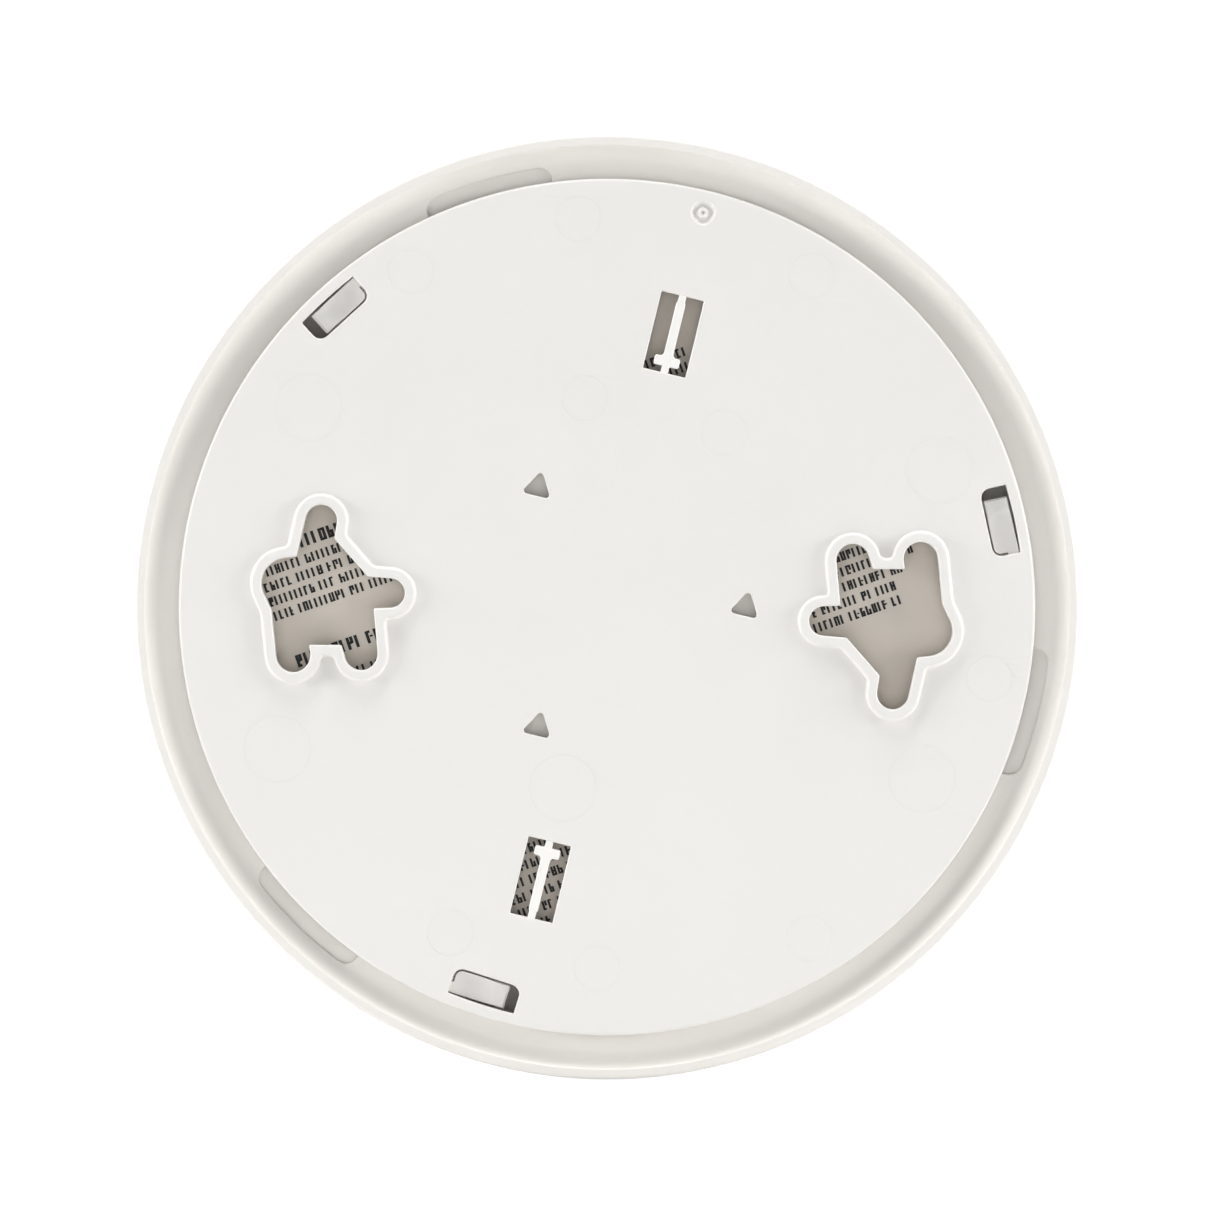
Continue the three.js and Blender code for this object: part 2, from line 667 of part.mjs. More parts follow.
// A can with a rounded tip and a crimped groove near its foot.
function capacitor() {
  const { x, y, radius, height } = CAPACITOR;
  const tip = ON_BOARD - height;
  return revolve(
    [
      [0, tip],
      [radius - 0.4, tip],
      [radius, tip + 0.4],
      [radius, ON_BOARD - 1.4],
      [radius - 0.3, ON_BOARD - 1.1],
      [radius, ON_BOARD - 0.8],
      [radius, ON_BOARD],
      [0, ON_BOARD],
    ],
    ROUND_SMALL, x, y,
  );
}

// ---- Optical chamber ----

const SENSOR_HEIGHT = -20.8;
const SENSOR_RING = 10;
const SENSOR_BORE = 2.8;
const SENSOR_BLOCK = { half: 3.5, reach: 3, drop: 3.6 };
const VANES = { count: 18, ring: 16.2, reach: 2.1, half: 0.45, turn: 40 };
const EMITTER_TURN = 200;
const RECEIVER_TURN = 340;
const CHAMBER_FLOOR = BOARD_FRONT - 2;
const CAP_UNDER = -27.2;

// A round bar lying flat, pointing at the chamber's middle from the given direction.
function lying(geometry, turn, ring) {
  const at = polar(ring, turn);
  return solid(
    geometry
      .rotateZ(Math.PI / 2)
      .rotateZ(turn * DEG)
      .translate(CHAMBER.x + at.x, CHAMBER.y + at.y, SENSOR_HEIGHT),
  );
}

function sensorHolder(turn) {
  const { half, reach, drop } = SENSOR_BLOCK;
  const outline = turned(rectangle(SENSOR_RING - reach, -half, SENSOR_RING + reach, half), turn);
  const housing = plate(moved(outline, CHAMBER.x, CHAMBER.y), SENSOR_HEIGHT - drop, CHAMBER_FLOOR + MERGE);
  const bore = new THREE.CylinderGeometry(SENSOR_BORE, SENSOR_BORE, 4 * reach, ROUND_SMALL);
  return cut(housing, lying(bore, turn, SENSOR_RING));
}

function opticalChamberBase() {
  const { x, y, radius } = CHAMBER;
  const dish = revolve(
    [[0, CHAMBER_FLOOR], [radius - 0.6, CHAMBER_FLOOR], [radius - 0.6, CHAMBER_FLOOR - 1.6],
      [radius, CHAMBER_FLOOR - 1.6], [radius, BOARD_FRONT - 0.2], [0, BOARD_FRONT - 0.2]],
    ROUND_MID, x, y,
  );
  return joined(dish, sensorHolder(EMITTER_TURN), sensorHolder(RECEIVER_TURN));
}

function opticalChamberCap() {
  const { x, y, radius } = CHAMBER;
  const lid = revolve(
    [[0, CAP_UNDER - 2], [radius - 1, CAP_UNDER - 2], [radius, CAP_UNDER - 1], [radius, CAP_UNDER + 1.6],
      [radius - 0.6, CAP_UNDER + 1.6], [radius - 0.6, CAP_UNDER], [0, CAP_UNDER]],
    ROUND_MID, x, y,
  );
  const { count, ring, reach, half, turn } = VANES;
  const blade = moved(turned(rectangle(-reach, -half, reach, half), turn), ring, 0);
  const vanes = Array.from({ length: count }, (_, i) =>
    plate(moved(turned(blade, (i * 360) / count), x, y), CAP_UNDER - MERGE, CHAMBER_FLOOR - GAP),
  );
  return joined(lid, ...vanes);
}

function insectScreen() {
  const { x, y, radius } = CHAMBER;
  return tube(radius - 0.8, radius - 1.1, CAP_UNDER + GAP, CHAMBER_FLOOR - GAP, x, y);
}

function sensorBulb(turn) {
  const flange = [[0, -3.6], [2.9, -3.6], [2.9, -2.9], [2.5, -2.9]];
  const lens = [[2.5, 2.2], [1.9, 3.8], [0.9, 4.6], [0, 4.8]];
  const profile = [...flange, ...lens];
  const geometry = new THREE.LatheGeometry(profile.map(([r, h]) => new THREE.Vector2(r, h)), ROUND_SMALL);
  return lying(geometry, turn, SENSOR_RING + 0.2);
}

// ---- Sounder ----

const DISC_BACK = -21.6;
const DISC_RADIUS = HORN.radius - 1.3;
const CERAMIC_RADIUS = 10.5;
const RETAINER = { inner: 13, top: -19 };

function hornResonator() {
  const outer = HORN.radius;
  const inner = HORN.radius - HORN.wall;
  return revolve(
    closed([
      [inner, FACE_INNER + GAP],
      [outer, FACE_INNER + GAP],
      [outer, -18.8],
      [inner, -18.8],
      [inner, -22.1],
      [12.8, -22.1],
      [12.8, -26],
      [3.5, -26],
      [3.5, -27.4],
      [inner, -27.4],
    ]),
    ROUND_MID, HORN.x, HORN.y,
  );
}

const piezoDisc = () => cylinder(DISC_RADIUS, DISC_BACK - 0.25, DISC_BACK, HORN.x, HORN.y, ROUND_MID);
const piezoCeramic = () =>
  cylinder(CERAMIC_RADIUS, DISC_BACK + 0.1, DISC_BACK + 0.4, HORN.x, HORN.y, ROUND_MID);
const hornRetainerRing = () =>
  tube(DISC_RADIUS, RETAINER.inner, DISC_BACK + GAP, RETAINER.top, HORN.x, HORN.y);

// A spring strip that bows out between the board and the sounder's disc.
function hornContact(x, tip) {
  const strip = rectangle(-0.7, -0.25, 0.7, 0.25);
  const top = BOARD_FRONT - 0.2;
  const middle = (top + tip) / 2;
  const bow = 1.6;
  return swept(
    strip,
    [[HORN.x + x, HORN.y, top], [HORN.x + x + bow, HORN.y, middle], [HORN.x + x, HORN.y, tip]],
    6,
  );
}

// ---- Cell, its tabs and wires ----

const TAB = { near: 0.2, far: 0.5, low: -2.4, high: 5.4, half: 3 };
const WIRE = { radius: 0.7, segments: 8, standoff: 1.7 };

function batteryCell() {
  const half = CELL.length / 2;
  const profile = [
    [0, -half],
    [7.6, -half],
    [CELL.radius, -half + 0.8],
    [CELL.radius, half - 2],
    [7.6, half - 1.2],
    [3.2, half - 1.2],
    [3.2, half],
    [0, half],
  ];
  const geometry = new THREE.LatheGeometry(profile.map(([r, h]) => new THREE.Vector2(r, h)), ROUND_MID);
  return solid(geometry.rotateZ(-Math.PI / 2).translate(0, CELL.y, CELL.z));
}

// side is +1 at the positive end and -1 at the negative end.
function batteryTab(side) {
  const { near, far, low, high, half } = TAB;
  const [inner, outer] = [near, far].map((gap) => side * (CELL.length / 2 + gap));
  const [left, right] = [Math.min(inner, outer), Math.max(inner, outer)];
  return block(left, CELL.y + low, CELL.z - half, right, CELL.y + high, CELL.z + half);
}

function batteryWire(side) {
  const start = side * (CELL.length / 2 + WIRE.standoff);
  const outline = circle(WIRE.radius, WIRE.segments);
  return swept(
    outline,
    [
      [start, CELL.y - 1, CELL.z],
      [start, CELL.y + 4, CELL.z - 1],
      [start + side * 1.5, CELL.y + 11, CELL.z - 2],
      [start + side * 2, CELL.y + 17, CELL.z - 1],
      [start + side * 2, CELL.y + 19, BOARD_FRONT - 0.4],
    ],
    12,
  );
}

// ---- Power switch worked by the bracket ----

function activationSlider() {
  const { reach, halfWidth, ribPlay } = CARRIAGE;
  const top = PLATEAU_UNDER - GAP;
  const { ring, angle, under } = SLIDER;
  const outline = sector(ring - halfWidth, ring + halfWidth, angle - reach, angle + reach);
  const carriage = plate(outline, under, top);
  const play = SLIDER.ribSpan / 2 + ribPlay;
  const notch = plate(
    sector(ring - SLIDER.rib / 2 - GAP, ring + SLIDER.rib / 2 + GAP, angle - play, angle + play),
    under - PAST,
    top + PAST,
  );
  return cut(carriage, notch);
}

// A bowed leaf under the slider that bridges two pads on the board.
function sliderContact() {
  const x = -SLIDER.ring - 2.6;
  return swept(
    rectangle(-0.6, -0.15, 0.6, 0.15),
    [[x, -3, -11.7], [x, -1.6, -10.2], [x, 1.6, -10.2], [x, 3, -11.7]],
    12,
  );
}

// ---- Fasteners ----

const CROSS = { long: 1.76, short: 0.4, depth: 0.9 }; // half lengths of the recess in a head

// A pan-head screw along z. headTop is the height of the head's outer face, and side points from tip to head.
function screw(x, y, headTop, side, head, headDepth, shank, length) {
  const neck = headTop - side * headDepth;
  const tip = neck - side * length;
  const profile = [[0, tip], [shank * 0.4, tip], [shank, tip + side * 1.6], [shank, neck], [head, neck],
    [head, headTop - side * 0.5], [head - 0.5, headTop], [0, headTop]];
  const body = revolve(side > 0 ? profile : profile.reverse(), ROUND_SCREW, x, y);
  const ends = [headTop - side * CROSS.depth, headTop + side * PAST];
  const recess = [[CROSS.long, CROSS.short], [CROSS.short, CROSS.long]].map(([w, h]) =>
    block(x - w, y - h, Math.min(...ends), x + w, y + h, Math.max(...ends)),
  );
  return cut(body, ...recess);
}

function caseScrew(turn) {
  const at = polar(CASE_SCREW.ring, turn);
  const { head, headDepth, shank, length } = CASE_SCREW;
  return screw(at.x, at.y, PLATEAU_TOP - 0.2, 1, head, headDepth, shank, length);
}

function boardScrew([x, y]) {
  const { standoff, head, headDepth, shank, length } = BOARD_SCREW;
  return screw(x, y, BOARD_FRONT - standoff, -1, head, headDepth, shank, length);
}

// ---- Materials ----

const finish = (color, roughness, metalness = 0) =>
  new THREE.MeshStandardMaterial({ color, roughness, metalness });

const WHITE_SHELL = finish(0xf1f0ee, 0.45);
const WHITE_BRACKET = finish(0xe9e8e6, 0.5);
const LABEL_STOCK = finish(0xb4aca4, 0.6);
const BOARD_GREEN = finish(0x1f5a36, 0.5);
const BLACK_PLASTIC = finish(0x17181a, 0.6);
const STEEL = finish(0xb9bcc0, 0.35, 1);
const BRASS = finish(0xc8a451, 0.3, 1);
const CERAMIC = finish(0xe4dfd2, 0.5);
const CELL_WRAP = finish(0x2b4f86, 0.35);
const CLEAR = finish(0xdfe7ea, 0.1);

// ---- Assembly ----

const alarm = new THREE.Group();

function add(name, body, material) {
  const mesh = new THREE.Mesh(geometryOf(body), material);
  mesh.name = name;
  alarm.add(mesh);
}

add("mounting_bracket", mountingBracket(), WHITE_BRACKET);
add("locking_pin_upper", lockingPin(BRACKET_TURN), WHITE_BRACKET);
add("locking_pin_lower", lockingPin(BRACKET_TURN + 180), WHITE_BRACKET);
add("rear_housing", rearHousing(), WHITE_SHELL);
add("rating_label", ratingLabel(), LABEL_STOCK);
add("front_cover", frontCover(), WHITE_SHELL);
add("test_button", testButton(), WHITE_SHELL);
add("tactile_switch_body", tactileSwitchBody(), BLACK_PLASTIC);
add("switch_plunger", switchPlunger(), BLACK_PLASTIC);
add("status_led", statusLed(), CLEAR);
add("light_pipe", lightPipe(), CLEAR);
add("circuit_board", circuitBoard(), BOARD_GREEN);
add("microcontroller", microcontroller(), BLACK_PLASTIC);
add("horn_transformer", hornTransformer(), BLACK_PLASTIC);
add("capacitor", capacitor(), BLACK_PLASTIC);
add("optical_chamber_base", opticalChamberBase(), BLACK_PLASTIC);
add("optical_chamber_cap", opticalChamberCap(), BLACK_PLASTIC);
add("insect_screen", insectScreen(), STEEL);
add("infrared_emitter", sensorBulb(EMITTER_TURN), CLEAR);
add("photodiode", sensorBulb(RECEIVER_TURN), BLACK_PLASTIC);
add("horn_resonator", hornResonator(), WHITE_SHELL);
add("horn_retainer_ring", hornRetainerRing(), BLACK_PLASTIC);
add("piezo_disc", piezoDisc(), BRASS);
add("piezo_ceramic", piezoCeramic(), CERAMIC);
add("horn_contact_1", hornContact(-1, DISC_BACK + 0.6), STEEL);
add("horn_contact_2", hornContact(6, DISC_BACK + 0.6), STEEL);
add("horn_contact_3", hornContact(-11.7, DISC_BACK + 0.3), STEEL);
add("battery_cell", batteryCell(), CELL_WRAP);
add("battery_tab_positive", batteryTab(1), STEEL);
add("battery_tab_negative", batteryTab(-1), STEEL);
add("battery_wire_red", batteryWire(1), finish(0xb3261e, 0.5));
add("battery_wire_black", batteryWire(-1), BLACK_PLASTIC);
add("activation_slider", activationSlider(), BLACK_PLASTIC);
add("slider_contact", sliderContact(), BRASS);
CASE_SCREW.angles.forEach((turn, i) => add(`case_screw_${i + 1}`, caseScrew(turn), STEEL));
BOARD_SCREWS.forEach((at, i) => add(`board_screw_${i + 1}`, boardScrew(at), STEEL));

// Bench x goes to -X, bench y to +Z, and bench z, the way out of the back, to +Y.
alarm.rotation.set(-Math.PI / 2, 0, Math.PI);
alarm.position.y = -BRACKET_FACE;

export default alarm;
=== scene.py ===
"""A round household smoke alarm locked on its twist-lock bracket: the finished looks.

Every piece is laid out on a bench in millimetres, as the alarm is seen from behind: x to the right, y up,
z towards the viewer, and z = 0 in the wall plane. build() turns the bench into the frame's metres, gives
the piece its material and lets it ride on the body of the CAD node that it stands for.
"""

import json
import math
import random

import bmesh
import bpy
from mathutils import Matrix, Vector
from mathutils.geometry import tessellate_polygon


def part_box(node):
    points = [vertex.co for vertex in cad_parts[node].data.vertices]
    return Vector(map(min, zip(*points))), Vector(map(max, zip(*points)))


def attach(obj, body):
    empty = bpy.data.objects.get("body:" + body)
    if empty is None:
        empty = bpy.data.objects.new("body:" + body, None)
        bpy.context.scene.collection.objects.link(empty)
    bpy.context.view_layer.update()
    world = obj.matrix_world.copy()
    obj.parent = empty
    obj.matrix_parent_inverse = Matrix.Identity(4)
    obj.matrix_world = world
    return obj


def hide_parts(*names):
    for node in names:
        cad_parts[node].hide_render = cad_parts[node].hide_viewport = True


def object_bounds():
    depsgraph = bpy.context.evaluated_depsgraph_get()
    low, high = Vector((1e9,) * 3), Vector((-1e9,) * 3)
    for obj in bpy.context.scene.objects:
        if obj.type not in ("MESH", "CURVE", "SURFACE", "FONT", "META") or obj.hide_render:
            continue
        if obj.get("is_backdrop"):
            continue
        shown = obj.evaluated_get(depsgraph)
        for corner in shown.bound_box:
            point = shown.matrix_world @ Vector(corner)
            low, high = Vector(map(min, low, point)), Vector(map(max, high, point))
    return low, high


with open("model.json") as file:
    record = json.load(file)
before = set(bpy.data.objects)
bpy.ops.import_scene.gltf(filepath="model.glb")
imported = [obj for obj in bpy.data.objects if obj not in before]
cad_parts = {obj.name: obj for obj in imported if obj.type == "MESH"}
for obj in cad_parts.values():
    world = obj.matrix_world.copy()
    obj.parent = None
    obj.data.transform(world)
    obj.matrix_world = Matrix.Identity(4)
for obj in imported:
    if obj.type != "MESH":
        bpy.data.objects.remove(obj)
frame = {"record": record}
CAD_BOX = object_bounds()

# ---- The frame ----

MM = 0.001
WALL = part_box("mounting_bracket")[1].y  # the wall plane, where the collars' faces lie
BENCH_TO_ROW = Matrix(((-MM, 0, 0, 0), (0, 0, MM, WALL), (0, MM, 0, 0), (0, 0, 0, 1)))
BODY_OF = {n: body for body, nodes in frame["record"]["behaviour"]["bodies"].items() for n in nodes}

# ---- Sizes, millimetres and degrees ----

FINE = 224  # segments round a shell
MEDIUM = 96
SMALL = 48
TINY = 24
FILLET_STEPS = 5
SECTOR_STEP = 1.5  # degrees between the points of a piece of a ring
ON_AXIS = 1e-6  # a radius below this is a point on the axis
CORNER_ROOM = 2.1  # length of line kept beside a rounded corner, in corner radii
MITRE_LIMIT = 0.4
SMOOTH_BELOW = math.radians(32)  # edges sharper than this stay crisp
SQUARE_ON = 0.9999  # how squarely a flat face looks along the alarm's axis
BREAK = 0.15  # a moulded edge that only looks sharp
PAST = 1  # how far a cutting tool runs past the face that it cuts
MERGE = 0.5  # how far a rib runs into the piece that it grows from
GAP = 0.3

BODY_RADIUS = 71.1
CREST_RADIUS = 69.6
BRACKET_RADIUS = 64.5
BRACKET_TURN = 76.3
BRACKET_EDGE = 0.55  # rounding of the bracket's outer edge

COLLAR_FACE = 0
BRACKET_FACE = -1.3
BRACKET_BACK = -3.3
CREST_TOP = -0.9
LEDGE_TOP = -3.6
LEDGE_UNDER = -4.9
TRENCH_FLOOR = -7
TRENCH_UNDER = -8.6
PLATEAU_TOP = -4.8
PLATEAU_UNDER = -6.6
CENTRE = {"radius": 27, "top": -3.6}  # raised middle of the housing
COVE = {"start": 66.8, "inset": 0.1, "drop": 0.12}  # the concave slope inside the crest
PARTING = -12
WALL_THICKNESS = 1.8
SKIRT = 2
RIM_CORE = {"inner": 66.3, "top": -5.8}  # hollow under the rim
TONGUE = {"inner": 67.4, "outer": 68.8}  # of the cover, inside the skirt
BOARD_BACK = -12.2
BOARD_FRONT = -13.8
FACE_INNER = -40.4
FACE_OUTER = -42.4
BUTTON_CROWN = -43.8

HOOK_ANGLES = (12.3, 132.3, 252.3)
TWIST = 26.4
WINDOW = {"inner": 58.5, "outer": 62.8, "length": 10.4, "corner": 1.5}
HOOK = {"low": -4.7, "high": 3.3, "ramp": 1.3, "wall": 1.2, "wall_end": 4.75, "outer": 62.5, "nose": 64.2}
HOOK_BLOCK_TOP = -2.6
HOOK_BODY_TOP = -4.6
HOOK_SLIT = 0.35  # between a hook's block and its window
HOOK_DISH = {"radius": 16, "depth": 0.4, "outward": 0.6, "turn": -1.6}
HOOK_JOIN = {"step": 1.9, "overrun": 1}  # where a block meets the plate
HOOK_NOSE_TOP = LEDGE_UNDER - GAP
HOOK_UNDER = -6.6
LEDGE_INNER = 62.9
TRENCH_INNER = 57
TRENCH_OUTER = 64.6
POCKET = {"span": 17.2, "outer": 67, "corner": 2, "relief": 0.5, "lip": 0.3}
STOP_SPAN = (3.9, 6.3)

PIN_WINDOW = {"radius": 42.25, "width": 6.55, "length": 11.9}
PIN = {"shaft": 1.45, "neck": 1.15, "head": 3.9, "head_length": 1.45, "setback": 1.0, "neck_length": 1.3}
COLLAR_WIDTH = 1.6
ROUNDED = {"opening": 0.22, "slot": 0.3, "collar_foot": 0.25, "collar": 0.45}  # edges of the bracket
TRIANGLE = {"ring": 20.84, "side": 4.6, "corner": 0.5}
DIMPLE = {"ring": 61.1, "outer": 1.9, "inner": 0.75, "depth": 0.5}

# The corners of one five-lobed screw slot, and the round lobe that bulges out from each pair of them.
SHOULDER = (-46.7, 7.6)
SLOPE_TOP = (-41, 10.3)
SLOPE_FOOT = (-36, 4.6)
ELBOW = (-35.1, -0.2)
NOTCH_RIGHT = (-40, -5.7)
NOTCH_LEFT = (-44.8, -5.7)
WAIST = (-50.5, -0.4)
SLOT_LOBES = (
    {"at": (-43, 13), "r": 2.4, "from": SHOULDER, "to": SLOPE_TOP},
    {"at": (-32.6, 2.1), "r": 2.2, "from": SLOPE_FOOT, "to": ELBOW},
    {"at": (-37, -7), "r": 2.5, "from": ELBOW, "to": NOTCH_RIGHT},
    {"at": (-47.2, -7.2), "r": 2.6, "from": NOTCH_LEFT, "to": WAIST},
    {"at": (-48.2, 3.6), "r": 3.8, "from": WAIST, "to": SHOULDER},
)

EJECTOR_LINE = {"half": 0.2, "depth": 0.07}
# Where ejector pins pushed on the bracket, with their turns from its "up" mark.
EJECTOR_PINS = (
    {"radius": 3.4, "ring": 58.5, "turns": (-135, -87, -18, 18, 44)},
    {"radius": 3.4, "ring": 54.5, "turns": (-168, 168)},
    {"radius": 3.4, "ring": 31.5, "turns": (-20, 20)},
    {"radius": 5, "ring": 54, "turns": (-105, -54, 70, 127)},
    {"radius": 5, "ring": 28, "turns": (180,)},
)

CASE_SCREW = {"ring": 52, "angles": (30, 150, 270), "head": 2.8, "depth": 1.8, "shank": 1.4, "length": 17}
CASE_BOSS = {"seat": 4.6, "cover": 3.5, "play": 0.4, "pilot_end": -26}
BOARD_RADIUS = 48
BOARD_FLAT = -25
BOARD_SCREWS = ((0, 42), (-38, -16), (38, -16))
BOARD_POST = {"radius": 3.2, "pilot": 1.25}
BOARD_HOLE = 1.5
BOARD_SCREW = {"standoff": 1.8, "head": 2.4, "depth": 1.7, "shank": 1.1, "length": 4.6}
ON_BOARD = BOARD_FRONT - 0.1  # where the parts on the board stand
SWITCH = {"half": 3, "under": -17.4, "bore": 1.9, "bore_end": -15.6}
PLUNGER = {"radius": 1.6, "low": -19.2, "high": -16.6}
CHIP = {"x": 1, "y": 13.5, "body": 6, "width": 7.6, "length": 10, "height": 2.2, "legs": 7, "pitch": 1.27}
TRANSFORMER = {"x": 12, "y": -17, "flange": 4.6, "core": 3.9, "flange_depth": 1, "height": 9.2, "turns": 12}
CAPACITOR = {"x": -6, "y": -17, "radius": 3.1, "height": 8.4}
SENSOR = {"height": -20.8, "ring": 10, "bore": 2.8, "half": 3.5, "reach": 3, "drop": 3.6}
EMITTER_TURN = 200
RECEIVER_TURN = 340
CHAMBER_FLOOR = BOARD_FRONT - 2
CAP_UNDER = -27.2
VANES = {"count": 18, "ring": 16.2, "reach": 2.1, "half": 0.45, "turn": 40}
DISC_BACK = -21.6
CERAMIC_RADIUS = 10.5
RETAINER = {"inner": 13, "top": -19}
CONTACTS = {"bow": 1.6, "half_width": 0.7, "half_depth": 0.25}
CARRIAGE = {"reach": 8.5, "half_width": 3.4, "rib_play": 0.8}
CROSS = {"long": 1.76, "short": 0.4, "depth": 0.9}  # half lengths of the recess in a screw's head
RIDGES = {"first": 1.6, "pitch": 0.9, "rise": 0.35, "core": 0.8, "point": 0.4, "taper": 1.2}  # of a shank
WIRE = {"radius": 0.7, "standoff": 1.7}
TAB = {"near": 0.2, "far": 0.5, "low": -2.4, "high": 5.4, "half": 3}
LABEL = {"radius": 54.5, "inner": 27.5, "thickness": 0.2, "lift": 0.1, "screw_notch": 3.8, "turn": 19}
CHAMBER = {"x": -30, "y": 6, "radius": 20}
HORN = {"x": 34, "y": 9, "radius": 16, "wall": 1, "seat_wall": 1.1, "seat_top": -36.5}
CELL = {"y": -36, "z": -17.6, "radius": 8.5, "length": 34.5}
CELL_END = {"rim": 2, "step": 1.2, "shoulder": 7.6, "button": 3.2}
CRADLE = {"x": 11, "wall": 1.6, "reach": 10.5, "drop": 2.4}
LIGHT = {"x": 0, "y": 26, "radius": 1.5, "collar": 2.6}
PIPE = {"tip": -42.8, "rim": -42.6, "collar": 0.4, "collar_end": 1.4, "end": -18.6}
LED = {"tip": -18.2, "foot_under": -14.8, "foot": -13.9, "foot_rim": 0.4}
BUTTON = {
    "radius": 16, "flange": 17.7, "flange_depth": 1.2, "post": 2.6, "post_end": -19.4,
    "play": 0.4, "wall": 1.8, "dish": 0.35,
}
SLIDER_PLAY = 1.2  # degrees of room for the rib at each end of its slot
SLIDER = {"ring": 24, "angle": 180, "rib": 2.8, "span": 5, "rib_end": -8.6, "under": -9.6, "slot": 1.8}
RAIL = {"rings": (19.4, 27.8), "wall": 0.8, "under": -9.8, "before": 8, "after": 9}
VENTS = {"count": 32, "inner": 58.6, "outer": 63.4, "width": 6.2, "top": -30, "corner": 1.2}
GRILLE = {"offsets": (-10, -6, -2, 2, 6, 10), "margin": 3, "width": 1.8}

# ---- Outlines ----


def polar(radius, degrees):
    return (radius * math.cos(math.radians(degrees)), radius * math.sin(math.radians(degrees)))


def arc(x, y, radius, start, end, steps):
    points = [polar(radius, start + (end - start) * i / steps) for i in range(steps + 1)]
    return moved(points, x, y)


def circle(radius, steps, x=0, y=0):
    return arc(x, y, radius, 0, 360, steps)[:-1]


def moved(points, x, y):
    return [(px + x, py + y) for px, py in points]


def turned(points, degrees):
    c, s = polar(1, degrees)
    return [(x * c - y * s, x * s + y * c) for x, y in points]


def rectangle(x0, y0, x1, y1, corner=0):
    return filleted([(x0, y0, corner), (x1, y0, corner), (x1, y1, corner), (x0, y1, corner)])


def sector(inner, outer, start, end, corner=0):
    """A piece of a ring, with its corners rounded."""
    steps = max(4, round((end - start) / SECTOR_STEP))
    far_inset, near_inset = (math.degrees(CORNER_ROOM * corner / r) for r in (outer, inner))
    far = arc(0, 0, outer, start + far_inset, end - far_inset, steps)
    near = arc(0, 0, inner, end - near_inset, start + near_inset, steps)
    if not corner:
        return far + near
    first, second = (*polar(outer, start), corner), (*polar(outer, end), corner)
    third, fourth = (*polar(inner, end), corner), (*polar(inner, start), corner)
    return filleted([first, *far, second, third, *near, fourth])


def filleted(points, closed=True, steps=FILLET_STEPS):
    """A line through (x, y) or (x, y, radius) points, with an arc at each corner that has a radius."""
    out = []
    for i, point in enumerate(points):
        corner = Vector(point[:2])
        at_end = not closed and i in (0, len(points) - 1)
        if len(point) < 3 or not point[2] or at_end:
            out.append(tuple(corner))
            continue
        before = Vector(points[i - 1][:2]) - corner
        after = Vector(points[(i + 1) % len(points)][:2]) - corner
        half = before.angle(after) / 2
        reach = min(point[2] / math.tan(half), 0.49 * before.length, 0.49 * after.length)
        radius = reach * math.tan(half)
        centre = corner + (before.normalized() + after.normalized()).normalized() * radius / math.sin(half)
        first = corner + before.normalized() * reach - centre
        last = corner + after.normalized() * reach - centre
        start = math.degrees(math.atan2(first.y, first.x))
        sweep = (math.degrees(math.atan2(last.y, last.x)) - start + 180) % 360 - 180
        out += arc(centre.x, centre.y, radius, start, start + sweep, steps)
    return out


def counter_clockwise(points):
    area = sum(a[0] * b[1] - b[0] * a[1] for a, b in zip(points, points[1:] + points[:1]))
    return points if area > 0 else points[::-1]


def without_repeats(points, nearest=0.02):
    return [p for i, p in enumerate(points) if math.dist(p, points[i - 1]) > nearest]


def offset(points, distance):
    """A counter-clockwise outline moved outwards, with mitred corners."""
    if not distance:
        return points
    out = []
    for i, point in enumerate(points):
        here = Vector(point)
        before = (here - Vector(points[i - 1])).normalized()
        after = (Vector(points[(i + 1) % len(points)]) - here).normalized()
        normal = Vector((before.y + after.y, -before.x - after.x)).normalized()
        mitre = max(normal.dot(Vector((before.y, -before.x))), MITRE_LIMIT)
        out.append(tuple(here + normal * distance / mitre))
    return out


def evenly(points, step):
    """The same closed line with its points a step apart."""
    ends = points[1:] + points[:1]
    count = max(8, round(sum(math.dist(a, b) for a, b in zip(points, ends)) / step))
    spacing = sum(math.dist(a, b) for a, b in zip(points, ends)) / count
    out, travelled = [], 0.0
    for a, b in zip(points, ends):
        length = math.dist(a, b)
        while len(out) < count and len(out) * spacing <= travelled + length:
            share = (len(out) * spacing - travelled) / max(length, 1e-9)
            out.append((a[0] + (b[0] - a[0]) * share, a[1] + (b[1] - a[1]) * share))
        travelled += length
    return out


def eased(points, step, rounds):
    """The closed line with its corners softened by averaging neighbours."""
    points = evenly(points, step)
    for _ in range(rounds):
        nexts = points[1:] + points[:1]
        lasts = points[-1:] + points[:-1]
        points = [
            tuple((last[k] + 2 * here[k] + following[k]) / 4 for k in (0, 1))
            for last, here, following in zip(lasts, points, nexts)
        ]
    return points


def edge(radius, height, side, face):
    """(offset, height) steps of a rounded edge, from its wall to its face.

    side is 1 if the outline grows towards the face, as a hole's does, and face is 1 if the wall comes down
    to the face from above.
    """
    steps = [90 * i / FILLET_STEPS for i in range(FILLET_STEPS + 1)]
    return [
        (side * radius * (1 - polar(1, turn)[0]), height + face * radius * (1 - polar(1, turn)[1]))
        for turn in steps
    ]


def solid_wall(low, high, top=BREAK, bottom=BREAK):
    """(offset, height) steps up the side of a solid with rounded edges."""
    return edge(bottom, low, -1, 1)[::-1] + edge(top, high, -1, -1)


def hole_wall(low, high, top=BREAK, bottom=BREAK):
    return edge(bottom, low, 1, 1)[::-1] + edge(top, high, 1, -1)


# ---- Skins ----


